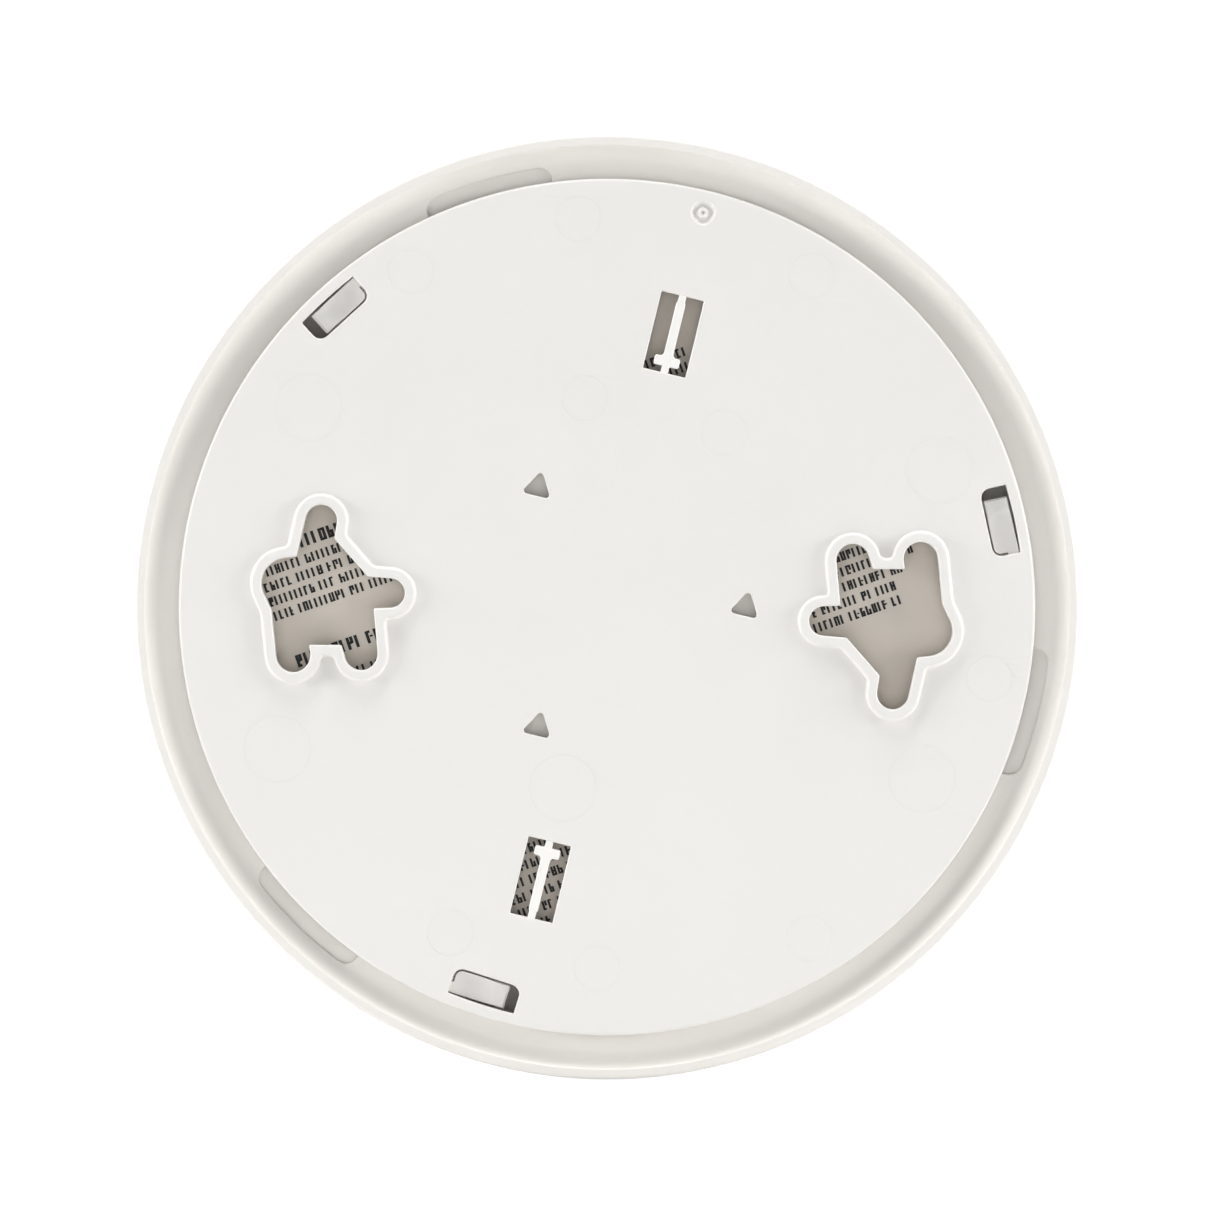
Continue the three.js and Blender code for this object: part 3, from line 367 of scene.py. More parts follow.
class Skin:
    """The closed surface of one piece, built on the bench from rings of points."""

    def __init__(self):
        self.mesh = bmesh.new()
        self.material = 0

    def face(self, corners):
        made = self.mesh.faces.new(corners)
        made.material_index = self.material
        made.smooth = True

    def ring(self, outline, height):
        return [self.mesh.verts.new((x, y, height)) for x, y in outline]

    def wall(self, low, high):
        for i in range(len(low)):
            self.face((low[i - 1], low[i], high[i], high[i - 1]))

    def fan(self, ring, tip):
        for i in range(len(ring)):
            self.face((ring[i - 1], ring[i], tip))

    def stack(self, outline, steps):
        """Rings of one outline at (offset, height) steps, joined by walls."""
        rings = [self.ring(offset(outline, grow), height) for grow, height in steps]
        for low, high in zip(rings, rings[1:]):
            self.wall(low, high)
        return rings

    def cap(self, outer, holes=()):
        if not holes:
            self.face(outer)
            return
        loops = [outer, *holes]
        corners = [vertex for loop in loops for vertex in loop]
        flat = [[Vector((v.co.x, v.co.y, 0)) for v in loop] for loop in loops]
        for triangle in tessellate_polygon(flat):
            self.face([corners[i] for i in triangle])

    def prism(self, outline, steps, holes=()):
        """A solid with one outline, and holes given as (outline, steps)."""
        rings = self.stack(outline, steps)
        cores = [self.stack(hole, hole_steps) for hole, hole_steps in holes]
        self.cap(rings[0], [core[0] for core in cores])
        self.cap(rings[-1], [core[-1] for core in cores])

    def lathe(self, profile, segments, x=0, y=0, closed=False):
        """Revolves (radius, height) points about the upright axis through (x, y)."""
        rings = [
            self.ring(circle(radius, segments, x, y) if radius > ON_AXIS else [(x, y)], height)
            for radius, height in profile
        ]
        for low, high in zip(rings, rings[1:] + (rings[:1] if closed else [])):
            if len(low) == 1:
                self.fan(high, low[0])
            elif len(high) == 1:
                self.fan(low, high[0])
            else:
                self.wall(low, high)

    def sweep(self, outline, path, side):
        """A bar that follows the path, with the outline's x along side."""
        rings = []
        for i, point in enumerate(path):
            tangent = (path[min(i + 1, len(path) - 1)] - path[max(i - 1, 0)]).normalized()
            upright = tangent.cross(side).normalized()
            across = upright.cross(tangent)
            rings.append([self.mesh.verts.new(point + across * x + upright * y) for x, y in outline])
        for low, high in zip(rings, rings[1:]):
            self.wall(low, high)
        self.cap(rings[0])
        self.cap(rings[-1])

    def lie(self, x, y, z, turn):
        """Lays an upright piece down so that it points at the middle from the given direction."""
        c, s = polar(1, turn)
        matrix = Matrix(((0, -s, -c, x), (0, c, -s, y), (1, 0, 0, z), (0, 0, 0, 1)))
        self.mesh.transform(matrix)
        return self

    def as_object(self):
        bmesh.ops.recalc_face_normals(self.mesh, faces=self.mesh.faces)
        data = bpy.data.meshes.new("skin")
        self.mesh.to_mesh(data)
        made = bpy.data.objects.new("skin", data)
        bpy.context.scene.collection.objects.link(made)
        return made

    def combine(self, other, operation):
        """Cuts another skin out of this one (DIFFERENCE), or joins it on (UNION)."""
        body, tool = self.as_object(), other.as_object()
        modifier = body.modifiers.new("combine", "BOOLEAN")
        modifier.object = tool
        modifier.operation = operation
        modifier.solver = "MANIFOLD"
        graph = bpy.context.evaluated_depsgraph_get()
        result = body.evaluated_get(graph).to_mesh()
        self.mesh.free()
        self.mesh = bmesh.new()
        self.mesh.from_mesh(result)
        for used in (body, tool):
            data = used.data
            bpy.data.objects.remove(used)
            bpy.data.meshes.remove(data)
        other.mesh.free()

    def cut(self, tool):
        self.combine(tool, "DIFFERENCE")

    def join(self, tool):
        self.combine(tool, "UNION")


def lathed(profile, x=0, y=0, segments=SMALL, closed=False):
    skin = Skin()
    skin.lathe(profile, segments, x, y, closed)
    return skin


def spun(profile, x=0, y=0, segments=SMALL, steps=FILLET_STEPS):
    """A solid of revolution from (radius, height) or (radius, height, fillet) points, axis to axis."""
    return lathed(filleted(profile, closed=False, steps=steps), x, y, segments)


def prism(outline, steps, holes=()):
    skin = Skin()
    skin.prism(outline, steps, holes)
    return skin


def bar(outline, path, side):
    skin = Skin()
    skin.sweep(outline, path, Vector(side))
    return skin


def curve_through(points, steps):
    """A smooth path through points in space."""
    points = [Vector(p) for p in points]
    ends = [2 * points[0] - points[1], *points, 2 * points[-1] - points[-2]]
    path = []
    for a, b, c, d in zip(ends, ends[1:], ends[2:], ends[3:]):
        for t in (i / steps for i in range(steps)):
            bend = (2 * a - 5 * b + 4 * c - d) * t**2 + (3 * b - a - 3 * c + d) * t**3
            path.append((2 * b + (c - a) * t + bend) / 2)
    return [*path, points[-1]]


def build(node, skin, *materials):
    """Stands a finished skin in the row frame, in place of the CAD node."""
    made = skin.as_object()
    made.name = made.data.name = node + "_moulded"
    for polygon in made.data.polygons:
        if abs(polygon.normal.z) > SQUARE_ON:
            polygon.use_smooth = False
    made.data.transform(BENCH_TO_ROW)
    for material in materials:
        made.data.materials.append(material)
    made.data.set_sharp_from_angle(angle=SMOOTH_BELOW)
    shading = made.modifiers.new("flat faces", "WEIGHTED_NORMAL")
    shading.keep_sharp = True
    shading.weight = 80
    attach(made, BODY_OF[node])
    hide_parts(node)
    return made


# ---- Materials ----


def new_material(name):
    material = bpy.data.materials.new(name)
    material.use_nodes = True
    return material, material.node_tree, material.node_tree.nodes["Principled BSDF"]


def add_node(tree, kind, settings=None, **inputs):
    """A shader node with its settings, and its inputs as values or as another node's output."""
    node = tree.nodes.new(kind)
    for key, value in (settings or {}).items():
        setattr(node, key, value)
    return feed(tree, node, {key.replace("_", " "): value for key, value in inputs.items()})


def feed(tree, node, inputs):
    """Sets a node's inputs, by name or number, to values or to other nodes' outputs."""
    for key, value in inputs.items():
        if isinstance(value, bpy.types.NodeSocket):
            tree.links.new(value, node.inputs[key])
        else:
            node.inputs[key].default_value = value
    return node


def multiplied(tree, first, second):
    made = add_node(tree, "ShaderNodeMath", {"operation": "MULTIPLY"})
    return feed(tree, made, {0: first, 1: second}).outputs[0]


def noise(tree, scale, detail=3.0, stretch=(1, 1, 1)):
    """Noise in the part's own space; scale is in features per metre."""
    place = add_node(tree, "ShaderNodeTexCoord").outputs["Object"]
    spread = add_node(tree, "ShaderNodeMapping", Vector=place, Scale=stretch)
    made = add_node(tree, "ShaderNodeTexNoise", Vector=spread.outputs["Vector"], Scale=scale, Detail=detail)
    return made.outputs["Fac"]


def between(tree, factor, low, high):
    """A value that runs from low to high as the factor runs from 0 to 1."""
    made = add_node(tree, "ShaderNodeMapRange", Value=factor, To_Min=low, To_Max=high)
    return made.outputs["Result"]


def blend_colours(tree, factor, first, second):
    made = tree.nodes.new("ShaderNodeMix")
    made.data_type = "RGBA"
    tree.links.new(factor, made.inputs["Factor"])
    for key, colour in (("A", first), ("B", second)):
        socket = [s for s in made.inputs if s.name == key and s.type == "RGBA"][0]
        if isinstance(colour, bpy.types.NodeSocket):
            tree.links.new(colour, socket)
        else:
            socket.default_value = (*colour, 1)
    return [s for s in made.outputs if s.type == "RGBA"][0]


def moulded_plastic(name, colour, roughness=0.4, grain=1800, relief=0.012, mottle=0.02):
    """Injection-moulded plastic: fine satin grain, slight flow mottling and uneven gloss."""
    material, tree, surface = new_material(name)
    broad = noise(tree, 45, 4)
    darker = tuple(c * (1 - mottle) for c in colour)
    lighter = tuple(min(1, c * (1 + mottle)) for c in colour)
    bump = add_node(tree, "ShaderNodeBump", Height=noise(tree, grain, 2), Strength=1.0, Distance=relief * MM)
    feed(tree, surface, {
        "Base Color": blend_colours(tree, broad, darker, lighter),
        "Roughness": between(tree, noise(tree, 260, 3), roughness - 0.05, roughness + 0.05),
        "Normal": bump.outputs["Normal"],
        "IOR": 1.49,
    })
    return material


def metal(name, colour, roughness=0.3, brushed=(1, 1, 1), grain=900):
    """Metal with fine drawing lines or tumbling marks and slight tarnish."""
    material, tree, surface = new_material(name)
    marks = noise(tree, grain, 4, brushed)
    tarnish = noise(tree, 120, 5)
    dull = tuple(c * 0.82 for c in colour)
    bump = add_node(tree, "ShaderNodeBump", Height=marks, Strength=0.5, Distance=0.01 * MM)
    feed(tree, surface, {
        "Base Color": blend_colours(tree, tarnish, dull, colour),
        "Roughness": between(tree, marks, roughness - 0.08, roughness + 0.12),
        "Normal": bump.outputs["Normal"],
        "Metallic": 1,
    })
    return material


def clear_resin(name, colour, clearness, roughness=0.12):
    """Cast or moulded clear resin with a faint haze."""
    material, tree, surface = new_material(name)
    haze = noise(tree, 300, 3)
    dim = tuple(c * 0.85 for c in colour)
    feed(tree, surface, {
        "Base Color": blend_colours(tree, haze, dim, colour),
        "Roughness": between(tree, haze, roughness, roughness + 0.12),
        "Transmission Weight": clearness,
        "IOR": 1.5,
    })
    return material


WHITE_SHELL = moulded_plastic("white shell plastic", (0.82, 0.79, 0.745), 0.38)
WHITE_BRACKET = moulded_plastic("white bracket plastic", (0.80, 0.778, 0.745), 0.42)
WHITE_PIN = moulded_plastic("white pin plastic", (0.89, 0.868, 0.83), 0.4)
WHITE_BUTTON = moulded_plastic("white button plastic", (0.83, 0.805, 0.765), 0.34)
BLACK_PLASTIC = moulded_plastic("black plastic", (0.018, 0.018, 0.02), 0.5, mottle=0.15)
LABEL_STOCK = moulded_plastic("label stock", (0.66, 0.60, 0.53), 0.5, grain=5000, relief=0.004, mottle=0.04)
LABEL_INK = moulded_plastic("label ink", (0.012, 0.011, 0.011), 0.45, grain=5000, relief=0.004, mottle=0.2)
STEEL = metal("plated steel", (0.62, 0.63, 0.65), 0.3)
BRASS = metal("brass", (0.78, 0.58, 0.26), 0.25)
COPPER = metal("enamelled copper", (0.72, 0.30, 0.14), 0.3, (1, 1, 12))
STEEL_MESH = metal("woven steel", (0.55, 0.56, 0.58), 0.4, grain=4000)
CLEAR = clear_resin("clear resin", (0.93, 0.95, 0.96), 0.9)
SMOKED = clear_resin("smoked resin", (0.05, 0.03, 0.04), 0.3)
CERAMIC = moulded_plastic("fired ceramic", (0.72, 0.68, 0.58), 0.5, grain=3000, mottle=0.06)
CELL_WRAP = moulded_plastic("cell wrap", (0.06, 0.12, 0.30), 0.3, relief=0.004, mottle=0.08)
RED_WIRE = moulded_plastic("red wire", (0.55, 0.03, 0.02), 0.4, mottle=0.06)
BOARD_GREEN = moulded_plastic("solder mask", (0.02, 0.11, 0.045), 0.35, grain=500, relief=0.03, mottle=0.35)

# ---- Mounting bracket and its break-away pins ----


def tangent_turn(lobe, corner, side):
    """The angle on a lobe where the straight edge from a corner meets it."""
    away = Vector(corner) - Vector(lobe["at"])
    reach = max(away.length, lobe["r"])
    return math.degrees(math.atan2(away.y, away.x) + side * math.acos(lobe["r"] / reach))


def screw_slot():
    outline = []
    for lobe in SLOT_LOBES:
        start = tangent_turn(lobe, lobe["from"], -1)
        end = tangent_turn(lobe, lobe["to"], 1)
        end -= 360 * math.ceil((end - start) / 360)
        outline += [lobe["from"], *arc(*lobe["at"], lobe["r"], start, end, 24), lobe["to"]]
    return eased(counter_clockwise(without_repeats(outline)), 0.2, 1)


def collar_line(slot):
    """The line one collar width outside the slot, with its inner corners eased."""
    far = offset(slot, COLLAR_WIDTH)
    clear = [p for p in far if min(math.dist(p, q) for q in slot) > COLLAR_WIDTH - 0.03]
    return eased(clear, 0.25, 5)


def hook_window():
    half = WINDOW["length"] / 2
    reach = math.degrees(math.asin(half / WINDOW["outer"]))
    far = arc(0, 0, WINDOW["outer"], -reach, reach, 12)
    corner = WINDOW["corner"]
    inner = [(WINDOW["inner"], half, corner), (WINDOW["inner"], -half, corner)]
    return filleted([(*far[0], BREAK), *far[1:-1], (*far[-1], BREAK), *inner])


def triangle_hole():
    """Rounded triangle with its point along +x."""
    reach = TRIANGLE["side"] / math.sqrt(3)
    return filleted([(*polar(reach, turn), TRIANGLE["corner"]) for turn in (0, 120, 240)])


def pin_window():
    half_length, half_width = PIN_WINDOW["length"] / 2, PIN_WINDOW["width"] / 2
    middle = PIN_WINDOW["radius"]
    return rectangle(middle - half_length, -half_width, middle + half_length, half_width, BREAK)


def dimple_rings(skin):
    """A sunk dish with a low pip in its middle. Returns its upper rim."""
    x, y = polar(DIMPLE["ring"], BRACKET_TURN)
    floor = BRACKET_FACE - DIMPLE["depth"]
    profile = filleted(
        [
            (DIMPLE["outer"] + 0.25, BRACKET_FACE),
            (DIMPLE["outer"], BRACKET_FACE, 0.15),
            (DIMPLE["outer"] - 0.6, floor, 0.15),
            (DIMPLE["inner"] + 0.12, floor, 0.1),
            (DIMPLE["inner"], BRACKET_FACE, 0.15),
            (0.3, BRACKET_FACE, 0.06),
            (0.2, BRACKET_FACE - 0.35),
        ],
        closed=False,
    )
    rings = [skin.ring(circle(radius, SMALL, x, y), height) for radius, height in profile]
    for low, high in zip(rings, rings[1:]):
        skin.wall(low, high)
    skin.cap(rings[-1])
    return rings[0]


def ejector_mark(skin, x, y, radius):
    """A hairline circle, left where a pin pushed the moulding out. Returns its outer rim."""
    half = EJECTOR_LINE["half"]
    steps = ((radius + half, 0), (radius, -EJECTOR_LINE["depth"]), (radius - half, 0))
    rings = [skin.ring(circle(r, MEDIUM, x, y), BRACKET_FACE + drop) for r, drop in steps]
    for low, high in zip(rings, rings[1:]):
        skin.wall(low, high)
    skin.cap(rings[-1])
    return rings[0]


def hook_block(turn):
    """The block in a hook's window, joined to the plate at its clockwise end and dished on top."""
    half, far = WINDOW["length"] / 2, HOOK["outer"]
    near, end = WINDOW["inner"] + HOOK_SLIT, HOOK_SLIT - WINDOW["length"] / 2
    free = math.tan(math.radians(HOOK["high"])) * (near + far) / 2
    step, past = near + HOOK_JOIN["step"], -half - HOOK_JOIN["overrun"]
    outline = [
        (near, free, 0.2), (near, end, WINDOW["corner"]), (step, end, 0.1), (step, past),
        (far, past), (math.sqrt(far**2 - free**2), free, 0.2),
    ]
    upright = solid_wall(HOOK_UNDER, HOOK_BLOCK_TOP, 0.25)
    skin = prism(turned(counter_clockwise(filleted(outline)), turn), upright)
    radius, depth = HOOK_DISH["radius"], HOOK_DISH["depth"]
    x, y = polar((near + far) / 2 + HOOK_DISH["outward"], turn + HOOK_DISH["turn"])
    ball = arc(0, HOOK_BLOCK_TOP - depth + radius, radius, -90, 90, 64)
    skin.cut(lathed(ball, x, y, MEDIUM))
    return skin


def hook_parts(turn):
    """The hidden pieces of one hook: inner wall, end wall, body, and the nose under the ledge."""
    low, high = HOOK["low"] + turn, HOOK["high"] + turn
    wall_inner, wall_outer = WINDOW["inner"] - HOOK["wall"], WINDOW["inner"]
    top = BRACKET_BACK + MERGE
    start, end = low - HOOK["ramp"], turn + HOOK["wall_end"]
    return (
        (sector(wall_inner, wall_outer, start, end), solid_wall(HOOK_UNDER, top)),
        (sector(wall_inner, HOOK["outer"], start, low), solid_wall(HOOK_UNDER, BRACKET_BACK + BREAK)),
        (sector(wall_inner, HOOK["outer"], start, high, 0.2), solid_wall(HOOK_UNDER, HOOK_BODY_TOP, 0.25)),
        (sector(wall_outer, HOOK["nose"], low, high, 0.3), solid_wall(HOOK_UNDER, HOOK_NOSE_TOP, 0.25)),
    )


def mounting_bracket():
    skin = Skin()
    wall = hole_wall(BRACKET_BACK, BRACKET_FACE, ROUNDED["opening"])
    low_rims, high_rims = [], []
    for slot in (screw_slot(), turned(screw_slot(), 180)):
        inner = skin.stack(slot, hole_wall(BRACKET_BACK, COLLAR_FACE, ROUNDED["slot"]))
        foot = edge(ROUNDED["collar_foot"], BRACKET_FACE, 1, 1)[::-1]
        outer = skin.stack(collar_line(slot), foot + edge(ROUNDED["collar"], COLLAR_FACE, -1, -1))
        skin.cap(outer[-1], [inner[-1]])
        low_rims.append(inner[0])
        high_rims.append(outer[0])
    triangle = turned(triangle_hole(), BRACKET_TURN)
    openings = [moved(triangle, *polar(TRIANGLE["ring"], turn)) for turn in (0, 120, 240)]
    openings += [turned(hook_window(), turn) for turn in HOOK_ANGLES]
    openings += [turned(pin_window(), BRACKET_TURN + turn) for turn in (0, 180)]
    for opening in openings:
        rings = skin.stack(opening, wall)
        low_rims.append(rings[0])
        high_rims.append(rings[-1])
    high_rims.append(dimple_rings(skin))
    for pins in EJECTOR_PINS:
        for turn in pins["turns"]:
            high_rims.append(ejector_mark(skin, *polar(pins["ring"], BRACKET_TURN + turn), pins["radius"]))
    outer = skin.stack(circle(BRACKET_RADIUS, FINE * 2), solid_wall(BRACKET_BACK, BRACKET_FACE, BRACKET_EDGE))
    skin.cap(outer[0], low_rims)
    skin.cap(outer[-1], high_rims)
    half = SLIDER["span"] / 2
    rib = sector(
        SLIDER["ring"] - SLIDER["rib"] / 2, SLIDER["ring"] + SLIDER["rib"] / 2,
        SLIDER["angle"] - half, SLIDER["angle"] + half, 0.3,
    )
    skin.join(prism(rib, solid_wall(SLIDER["rib_end"], BRACKET_BACK + MERGE, bottom=0.3)))
    for turn in HOOK_ANGLES:
        for outline, steps in hook_parts(turn):
            skin.join(prism(outline, steps))
        skin.join(hook_block(turn))
    return skin


def locking_pin(turn):
    """A T-shaped pin along a radius, head towards the middle, held by a thin neck at each end."""
    start = PIN_WINDOW["radius"] - PIN_WINDOW["length"] / 2
    end = PIN_WINDOW["radius"] + PIN_WINDOW["length"] / 2
    head = start + PIN["setback"]
    shaft = head + PIN["head_length"]
    neck, stem, wide = PIN["neck"] / 2, PIN["shaft"] / 2, PIN["head"] / 2
    half = [
        (start - BREAK, neck),
        (head, neck, 0.12),
        (head, wide, 0.3),
        (shaft, wide, 0.3),
        (shaft, stem, 0.75),
        (end - PIN["neck_length"], stem, 0.15),
        (end - PIN["neck_length"] + 0.35, neck, 0.1),
        (end + BREAK, neck),
    ]
    mirrored = [(x, -y, *rest) for x, y, *rest in half]
    outline = counter_clockwise(filleted(half + mirrored[::-1]))
    return prism(turned(outline, turn), solid_wall(BRACKET_BACK + 0.2, BRACKET_FACE - 0.08, 0.22))


# ---- Rear housing and its label ----


def cove(start, end, floor, top):
    """A concave arc that leaves the ledge level and climbs to the crest."""
    run, rise = end - start, top - floor
    radius = (run**2 + rise**2) / (2 * rise)
    reach = math.degrees(math.asin(run / radius))
    return arc(start, floor + radius, radius, reach - 90, -90, 12)


def rear_housing():
    pan_inner = TRENCH_INNER - WALL_THICKNESS
    skirt = BODY_RADIUS - SKIRT
    skin = spun(
        [
            (0, PLATEAU_UNDER),
            (pan_inner, PLATEAU_UNDER, 0.3),
            (pan_inner, TRENCH_UNDER, 0.3),
            (RIM_CORE["inner"], TRENCH_UNDER, 0.3),
            (RIM_CORE["inner"], RIM_CORE["top"], 0.3),
            (skirt, RIM_CORE["top"], 0.3),
            (skirt, PARTING, 0.1),
            (BODY_RADIUS, PARTING, 0.2),
            (BODY_RADIUS, CREST_TOP, 0.55),
            (CREST_RADIUS, CREST_TOP, 0.15),
            *cove(COVE["start"], CREST_RADIUS - COVE["inset"], LEDGE_TOP, CREST_TOP - COVE["drop"]),
            (LEDGE_INNER, LEDGE_TOP, 0.2),
            (LEDGE_INNER, LEDGE_UNDER, 0.1),
            (TRENCH_OUTER, LEDGE_UNDER),
            (TRENCH_OUTER, TRENCH_FLOOR, 0.3),
            (TRENCH_INNER, TRENCH_FLOOR, 0.3),
            (TRENCH_INNER, PLATEAU_TOP, 0.4),
            (CENTRE["radius"], PLATEAU_TOP, 0.2),
            (CENTRE["radius"], CENTRE["top"], 0.3),
            (0, CENTRE["top"]),
        ],
        segments=FINE,
    )
    skin.join(housing_ribs())
    for tools in housing_openings():
        skin.cut(tools)
    return skin


def through_bore(radius, reach):
    return lathed([(0, -reach), (radius, -reach), (radius, reach), (0, reach)])


def cell_cradle(ribs):
    """Two ribs that the cell snaps into."""
    seat = through_bore(CELL["radius"] + GAP, CELL["length"])
    pair = Skin()
    half, reach = CRADLE["wall"] / 2, CRADLE["reach"]
    for x in (-CRADLE["x"], CRADLE["x"]):
        rib = rectangle(x - half, CELL["y"] - reach, x + half, CELL["y"] + reach, 0.3)
        pair.prism(rib, solid_wall(CELL["z"] - CRADLE["drop"], PLATEAU_UNDER + MERGE, bottom=0.3))
    pair.cut(seat.lie(0, CELL["y"], CELL["z"], 180))
    ribs.join(pair)


def housing_ribs():
    """What stands on the housing's pan: screw seats, board posts, stops, slider rails and cell cradle."""
    ribs = Skin()
    top = PLATEAU_UNDER + MERGE
    for turn in CASE_SCREW["angles"]:
        seat = circle(CASE_BOSS["seat"], SMALL, *polar(CASE_SCREW["ring"], turn))
        ribs.prism(seat, solid_wall(TRENCH_UNDER, top))
    for x, y in BOARD_SCREWS:
        ribs.prism(circle(BOARD_POST["radius"], SMALL, x, y), solid_wall(BOARD_BACK + GAP, top))
    for turn in HOOK_ANGLES:
        start, end = (turn + reach for reach in STOP_SPAN)
        stop = sector(LEDGE_INNER + GAP, TRENCH_OUTER + MERGE, start, end, 0.2)
        ribs.prism(stop, solid_wall(TRENCH_FLOOR - MERGE, LEDGE_UNDER + MERGE))
    for inner in RAIL["rings"]:
        start = SLIDER["angle"] - TWIST - RAIL["before"]
        rail = sector(inner, inner + RAIL["wall"], start, SLIDER["angle"] + RAIL["after"], 0.2)
        ribs.prism(rail, solid_wall(RAIL["under"], top))
    cell_cradle(ribs)
    return ribs


def slider_slot():
    """The arc that the bracket's rib sweeps through the housing as the head turns."""
    play = SLIDER["span"] / 2 + SLIDER_PLAY
    start = SLIDER["angle"] - TWIST - play
    inner, outer = SLIDER["ring"] - SLIDER["slot"], SLIDER["ring"] + SLIDER["slot"]
    return sector(inner, outer, start, SLIDER["angle"] + play, 0.6)


def flared(radius, low, high):
    """Steps up a cutting tool that leaves a rounded edge where it breaks out at high."""
    return [(0, low), *edge(radius, high, 1, -1), (radius, high + PAST)]


def housing_openings():
    """The tools that cut right through the housing, and those that lower it round the entry pockets."""
    tools, reliefs = Skin(), Skin()
    for turn in HOOK_ANGLES:
        start = turn - TWIST - POCKET["span"] / 2
        end = start + POCKET["span"]
        inner = LEDGE_INNER - PAST
        pocket = sector(inner, TRENCH_OUTER, start, end)
        tools.prism(pocket, [(0, LEDGE_UNDER - MERGE), (0, LEDGE_TOP - PAST / 2)])
        relief = sector(inner - PAST, POCKET["outer"], start, end, POCKET["corner"])
        reliefs.prism(relief, flared(POCKET["lip"], LEDGE_TOP - POCKET["relief"], LEDGE_TOP))
    for turn in CASE_SCREW["angles"]:
        head, shank = (CASE_SCREW[key] + CASE_BOSS["play"] for key in ("head", "shank"))
        seat = PLATEAU_TOP - CASE_SCREW["depth"] - CASE_BOSS["play"]
        low = TRENCH_UNDER - PAST
        profile = [(0, low), (shank, low), (shank, seat), (head, seat), (head, 0), (0, 0)]
        tools.lathe(profile, SMALL, *polar(CASE_SCREW["ring"], turn))
    for x, y in BOARD_SCREWS:
        pilot = circle(BOARD_POST["pilot"], TINY, x, y)
        tools.prism(pilot, [(0, BOARD_BACK - PAST), (0, PLATEAU_UNDER - MERGE)])
    tools.prism(slider_slot(), [(0, PLATEAU_UNDER - PAST), (0, CENTRE["top"] + PAST)])
    return tools, reliefs


# Blocks of small print: the first line, the number of lines and where they end, measured across and along
# the print, which climbs to the right. Each line of a narrowing block is shorter than the last at both ends.
LINE_PITCH = 2.25
SMALL_PRINT = 1.4
HEADING = 1.9
PRINT_BLOCKS = (
    {"first": 23.5, "count": 1, "height": HEADING, "left": -46, "right": -16},
    {"first": 21, "count": 4, "height": SMALL_PRINT, "left": -48, "right": -16},
    {"first": 6.5, "count": 1, "height": HEADING, "left": -47, "right": -17},
    {"first": 2.5, "count": 4, "height": SMALL_PRINT, "left": -48, "right": -16},
    {"first": 32, "count": 3, "height": SMALL_PRINT, "left": -8, "right": 24},
    {"first": -5, "count": 5, "height": SMALL_PRINT, "left": 5, "right": 47, "narrowing": 1.2},
    {"first": -29, "count": 7, "height": SMALL_PRINT, "left": -30, "right": 22},
)
STROKE = 0.25  # of print, as a share of its height
MARK_WIDTHS = (0.4, 0.6)  # as shares of the print's height
MARK_GAP = 0.12
WORD_GAP = 0.4
WORD_LENGTHS = (2, 9)
INK_THICKNESS = 0.03


def on_label(x, y):
    """Whether a spot of print stays on the sheet, clear of its edges and screw notches."""
    clear_of_screws = all(
        math.dist((x, y), polar(CASE_SCREW["ring"], turn)) > LABEL["screw_notch"] + 1
        for turn in CASE_SCREW["angles"]
    )
    return clear_of_screws and LABEL["inner"] + 1 < math.hypot(x, y) < LABEL["radius"] - 2


def print_mark(draw, along, baseline, width, height):
    """One upright stroke, with up to three shorter ones beside it. It spells nothing."""
    stroke = STROKE * height
    yield rectangle(along, baseline, along + stroke, baseline + height)
    right = along + width
    if width < 2 * stroke:
        return
    if draw.random() < 0.75:
        foot = baseline + draw.choice((0, 0, 0.45)) * height
        yield rectangle(right - stroke, foot, right, baseline + draw.choice((0.6, 1, 1)) * height)
    for level in draw.sample((0, 0.42, 1 - STROKE * 0.8), draw.choice((1, 1, 2))):
        low = baseline + level * height
        yield rectangle(along + stroke * 0.9, low, right - stroke * 0.6, low + stroke * 0.8)


def print_blocks(skin, low):
    """Lines of stroke marks, grouped like words, in place of lettering."""
    draw = random.Random(7)
    for block in PRINT_BLOCKS:
        height = block["height"]
        for line in range(block["count"]):
            inset = line * block.get("narrowing", 0)
            along = block["left"] + inset
            baseline = block["first"] - line * LINE_PITCH
            right = block["right"] - inset - draw.uniform(0, 1)
            while along < right:
                for _ in range(draw.randint(*WORD_LENGTHS)):
                    width = draw.uniform(*MARK_WIDTHS) * height
                    strokes = print_mark(draw, along, baseline, width, height)
                    marks = [turned(stroke, LABEL["turn"]) for stroke in strokes]
                    if along < right and all(on_label(x, y) for mark in marks for x, y in mark):
                        for mark in marks:
                            skin.prism(mark, [(0, low), (0, low + INK_THICKNESS)])
                    along += width + MARK_GAP * height
                along += WORD_GAP * height


def rating_label():
    low = PLATEAU_TOP + LABEL["lift"]
    high = low + LABEL["thickness"]
    inner = circle(LABEL["inner"], FINE)
    steps = [(0, low), (0, high - 0.03), (-0.03, high)]
    skin = prism(circle(LABEL["radius"], FINE), steps, [(inner, [(-out, height) for out, height in steps])])
    tools = Skin()
    for turn in CASE_SCREW["angles"]:
        notch = circle(LABEL["screw_notch"], SMALL, *polar(CASE_SCREW["ring"], turn))
        tools.prism(notch, [(0, low - PAST), (0, high + PAST)])
    skin.cut(tools)
    skin.material = 1
    print_blocks(skin, high + 0.002)
    return skin


build("mounting_bracket", mounting_bracket(), WHITE_BRACKET)
build("locking_pin_upper", locking_pin(BRACKET_TURN), WHITE_PIN)
build("locking_pin_lower", locking_pin(BRACKET_TURN + 180), WHITE_PIN)
build("rear_housing", rear_housing(), WHITE_SHELL)
build("rating_label", rating_label(), LABEL_STOCK, LABEL_INK)

# ---- Front cover, its button and the light ----


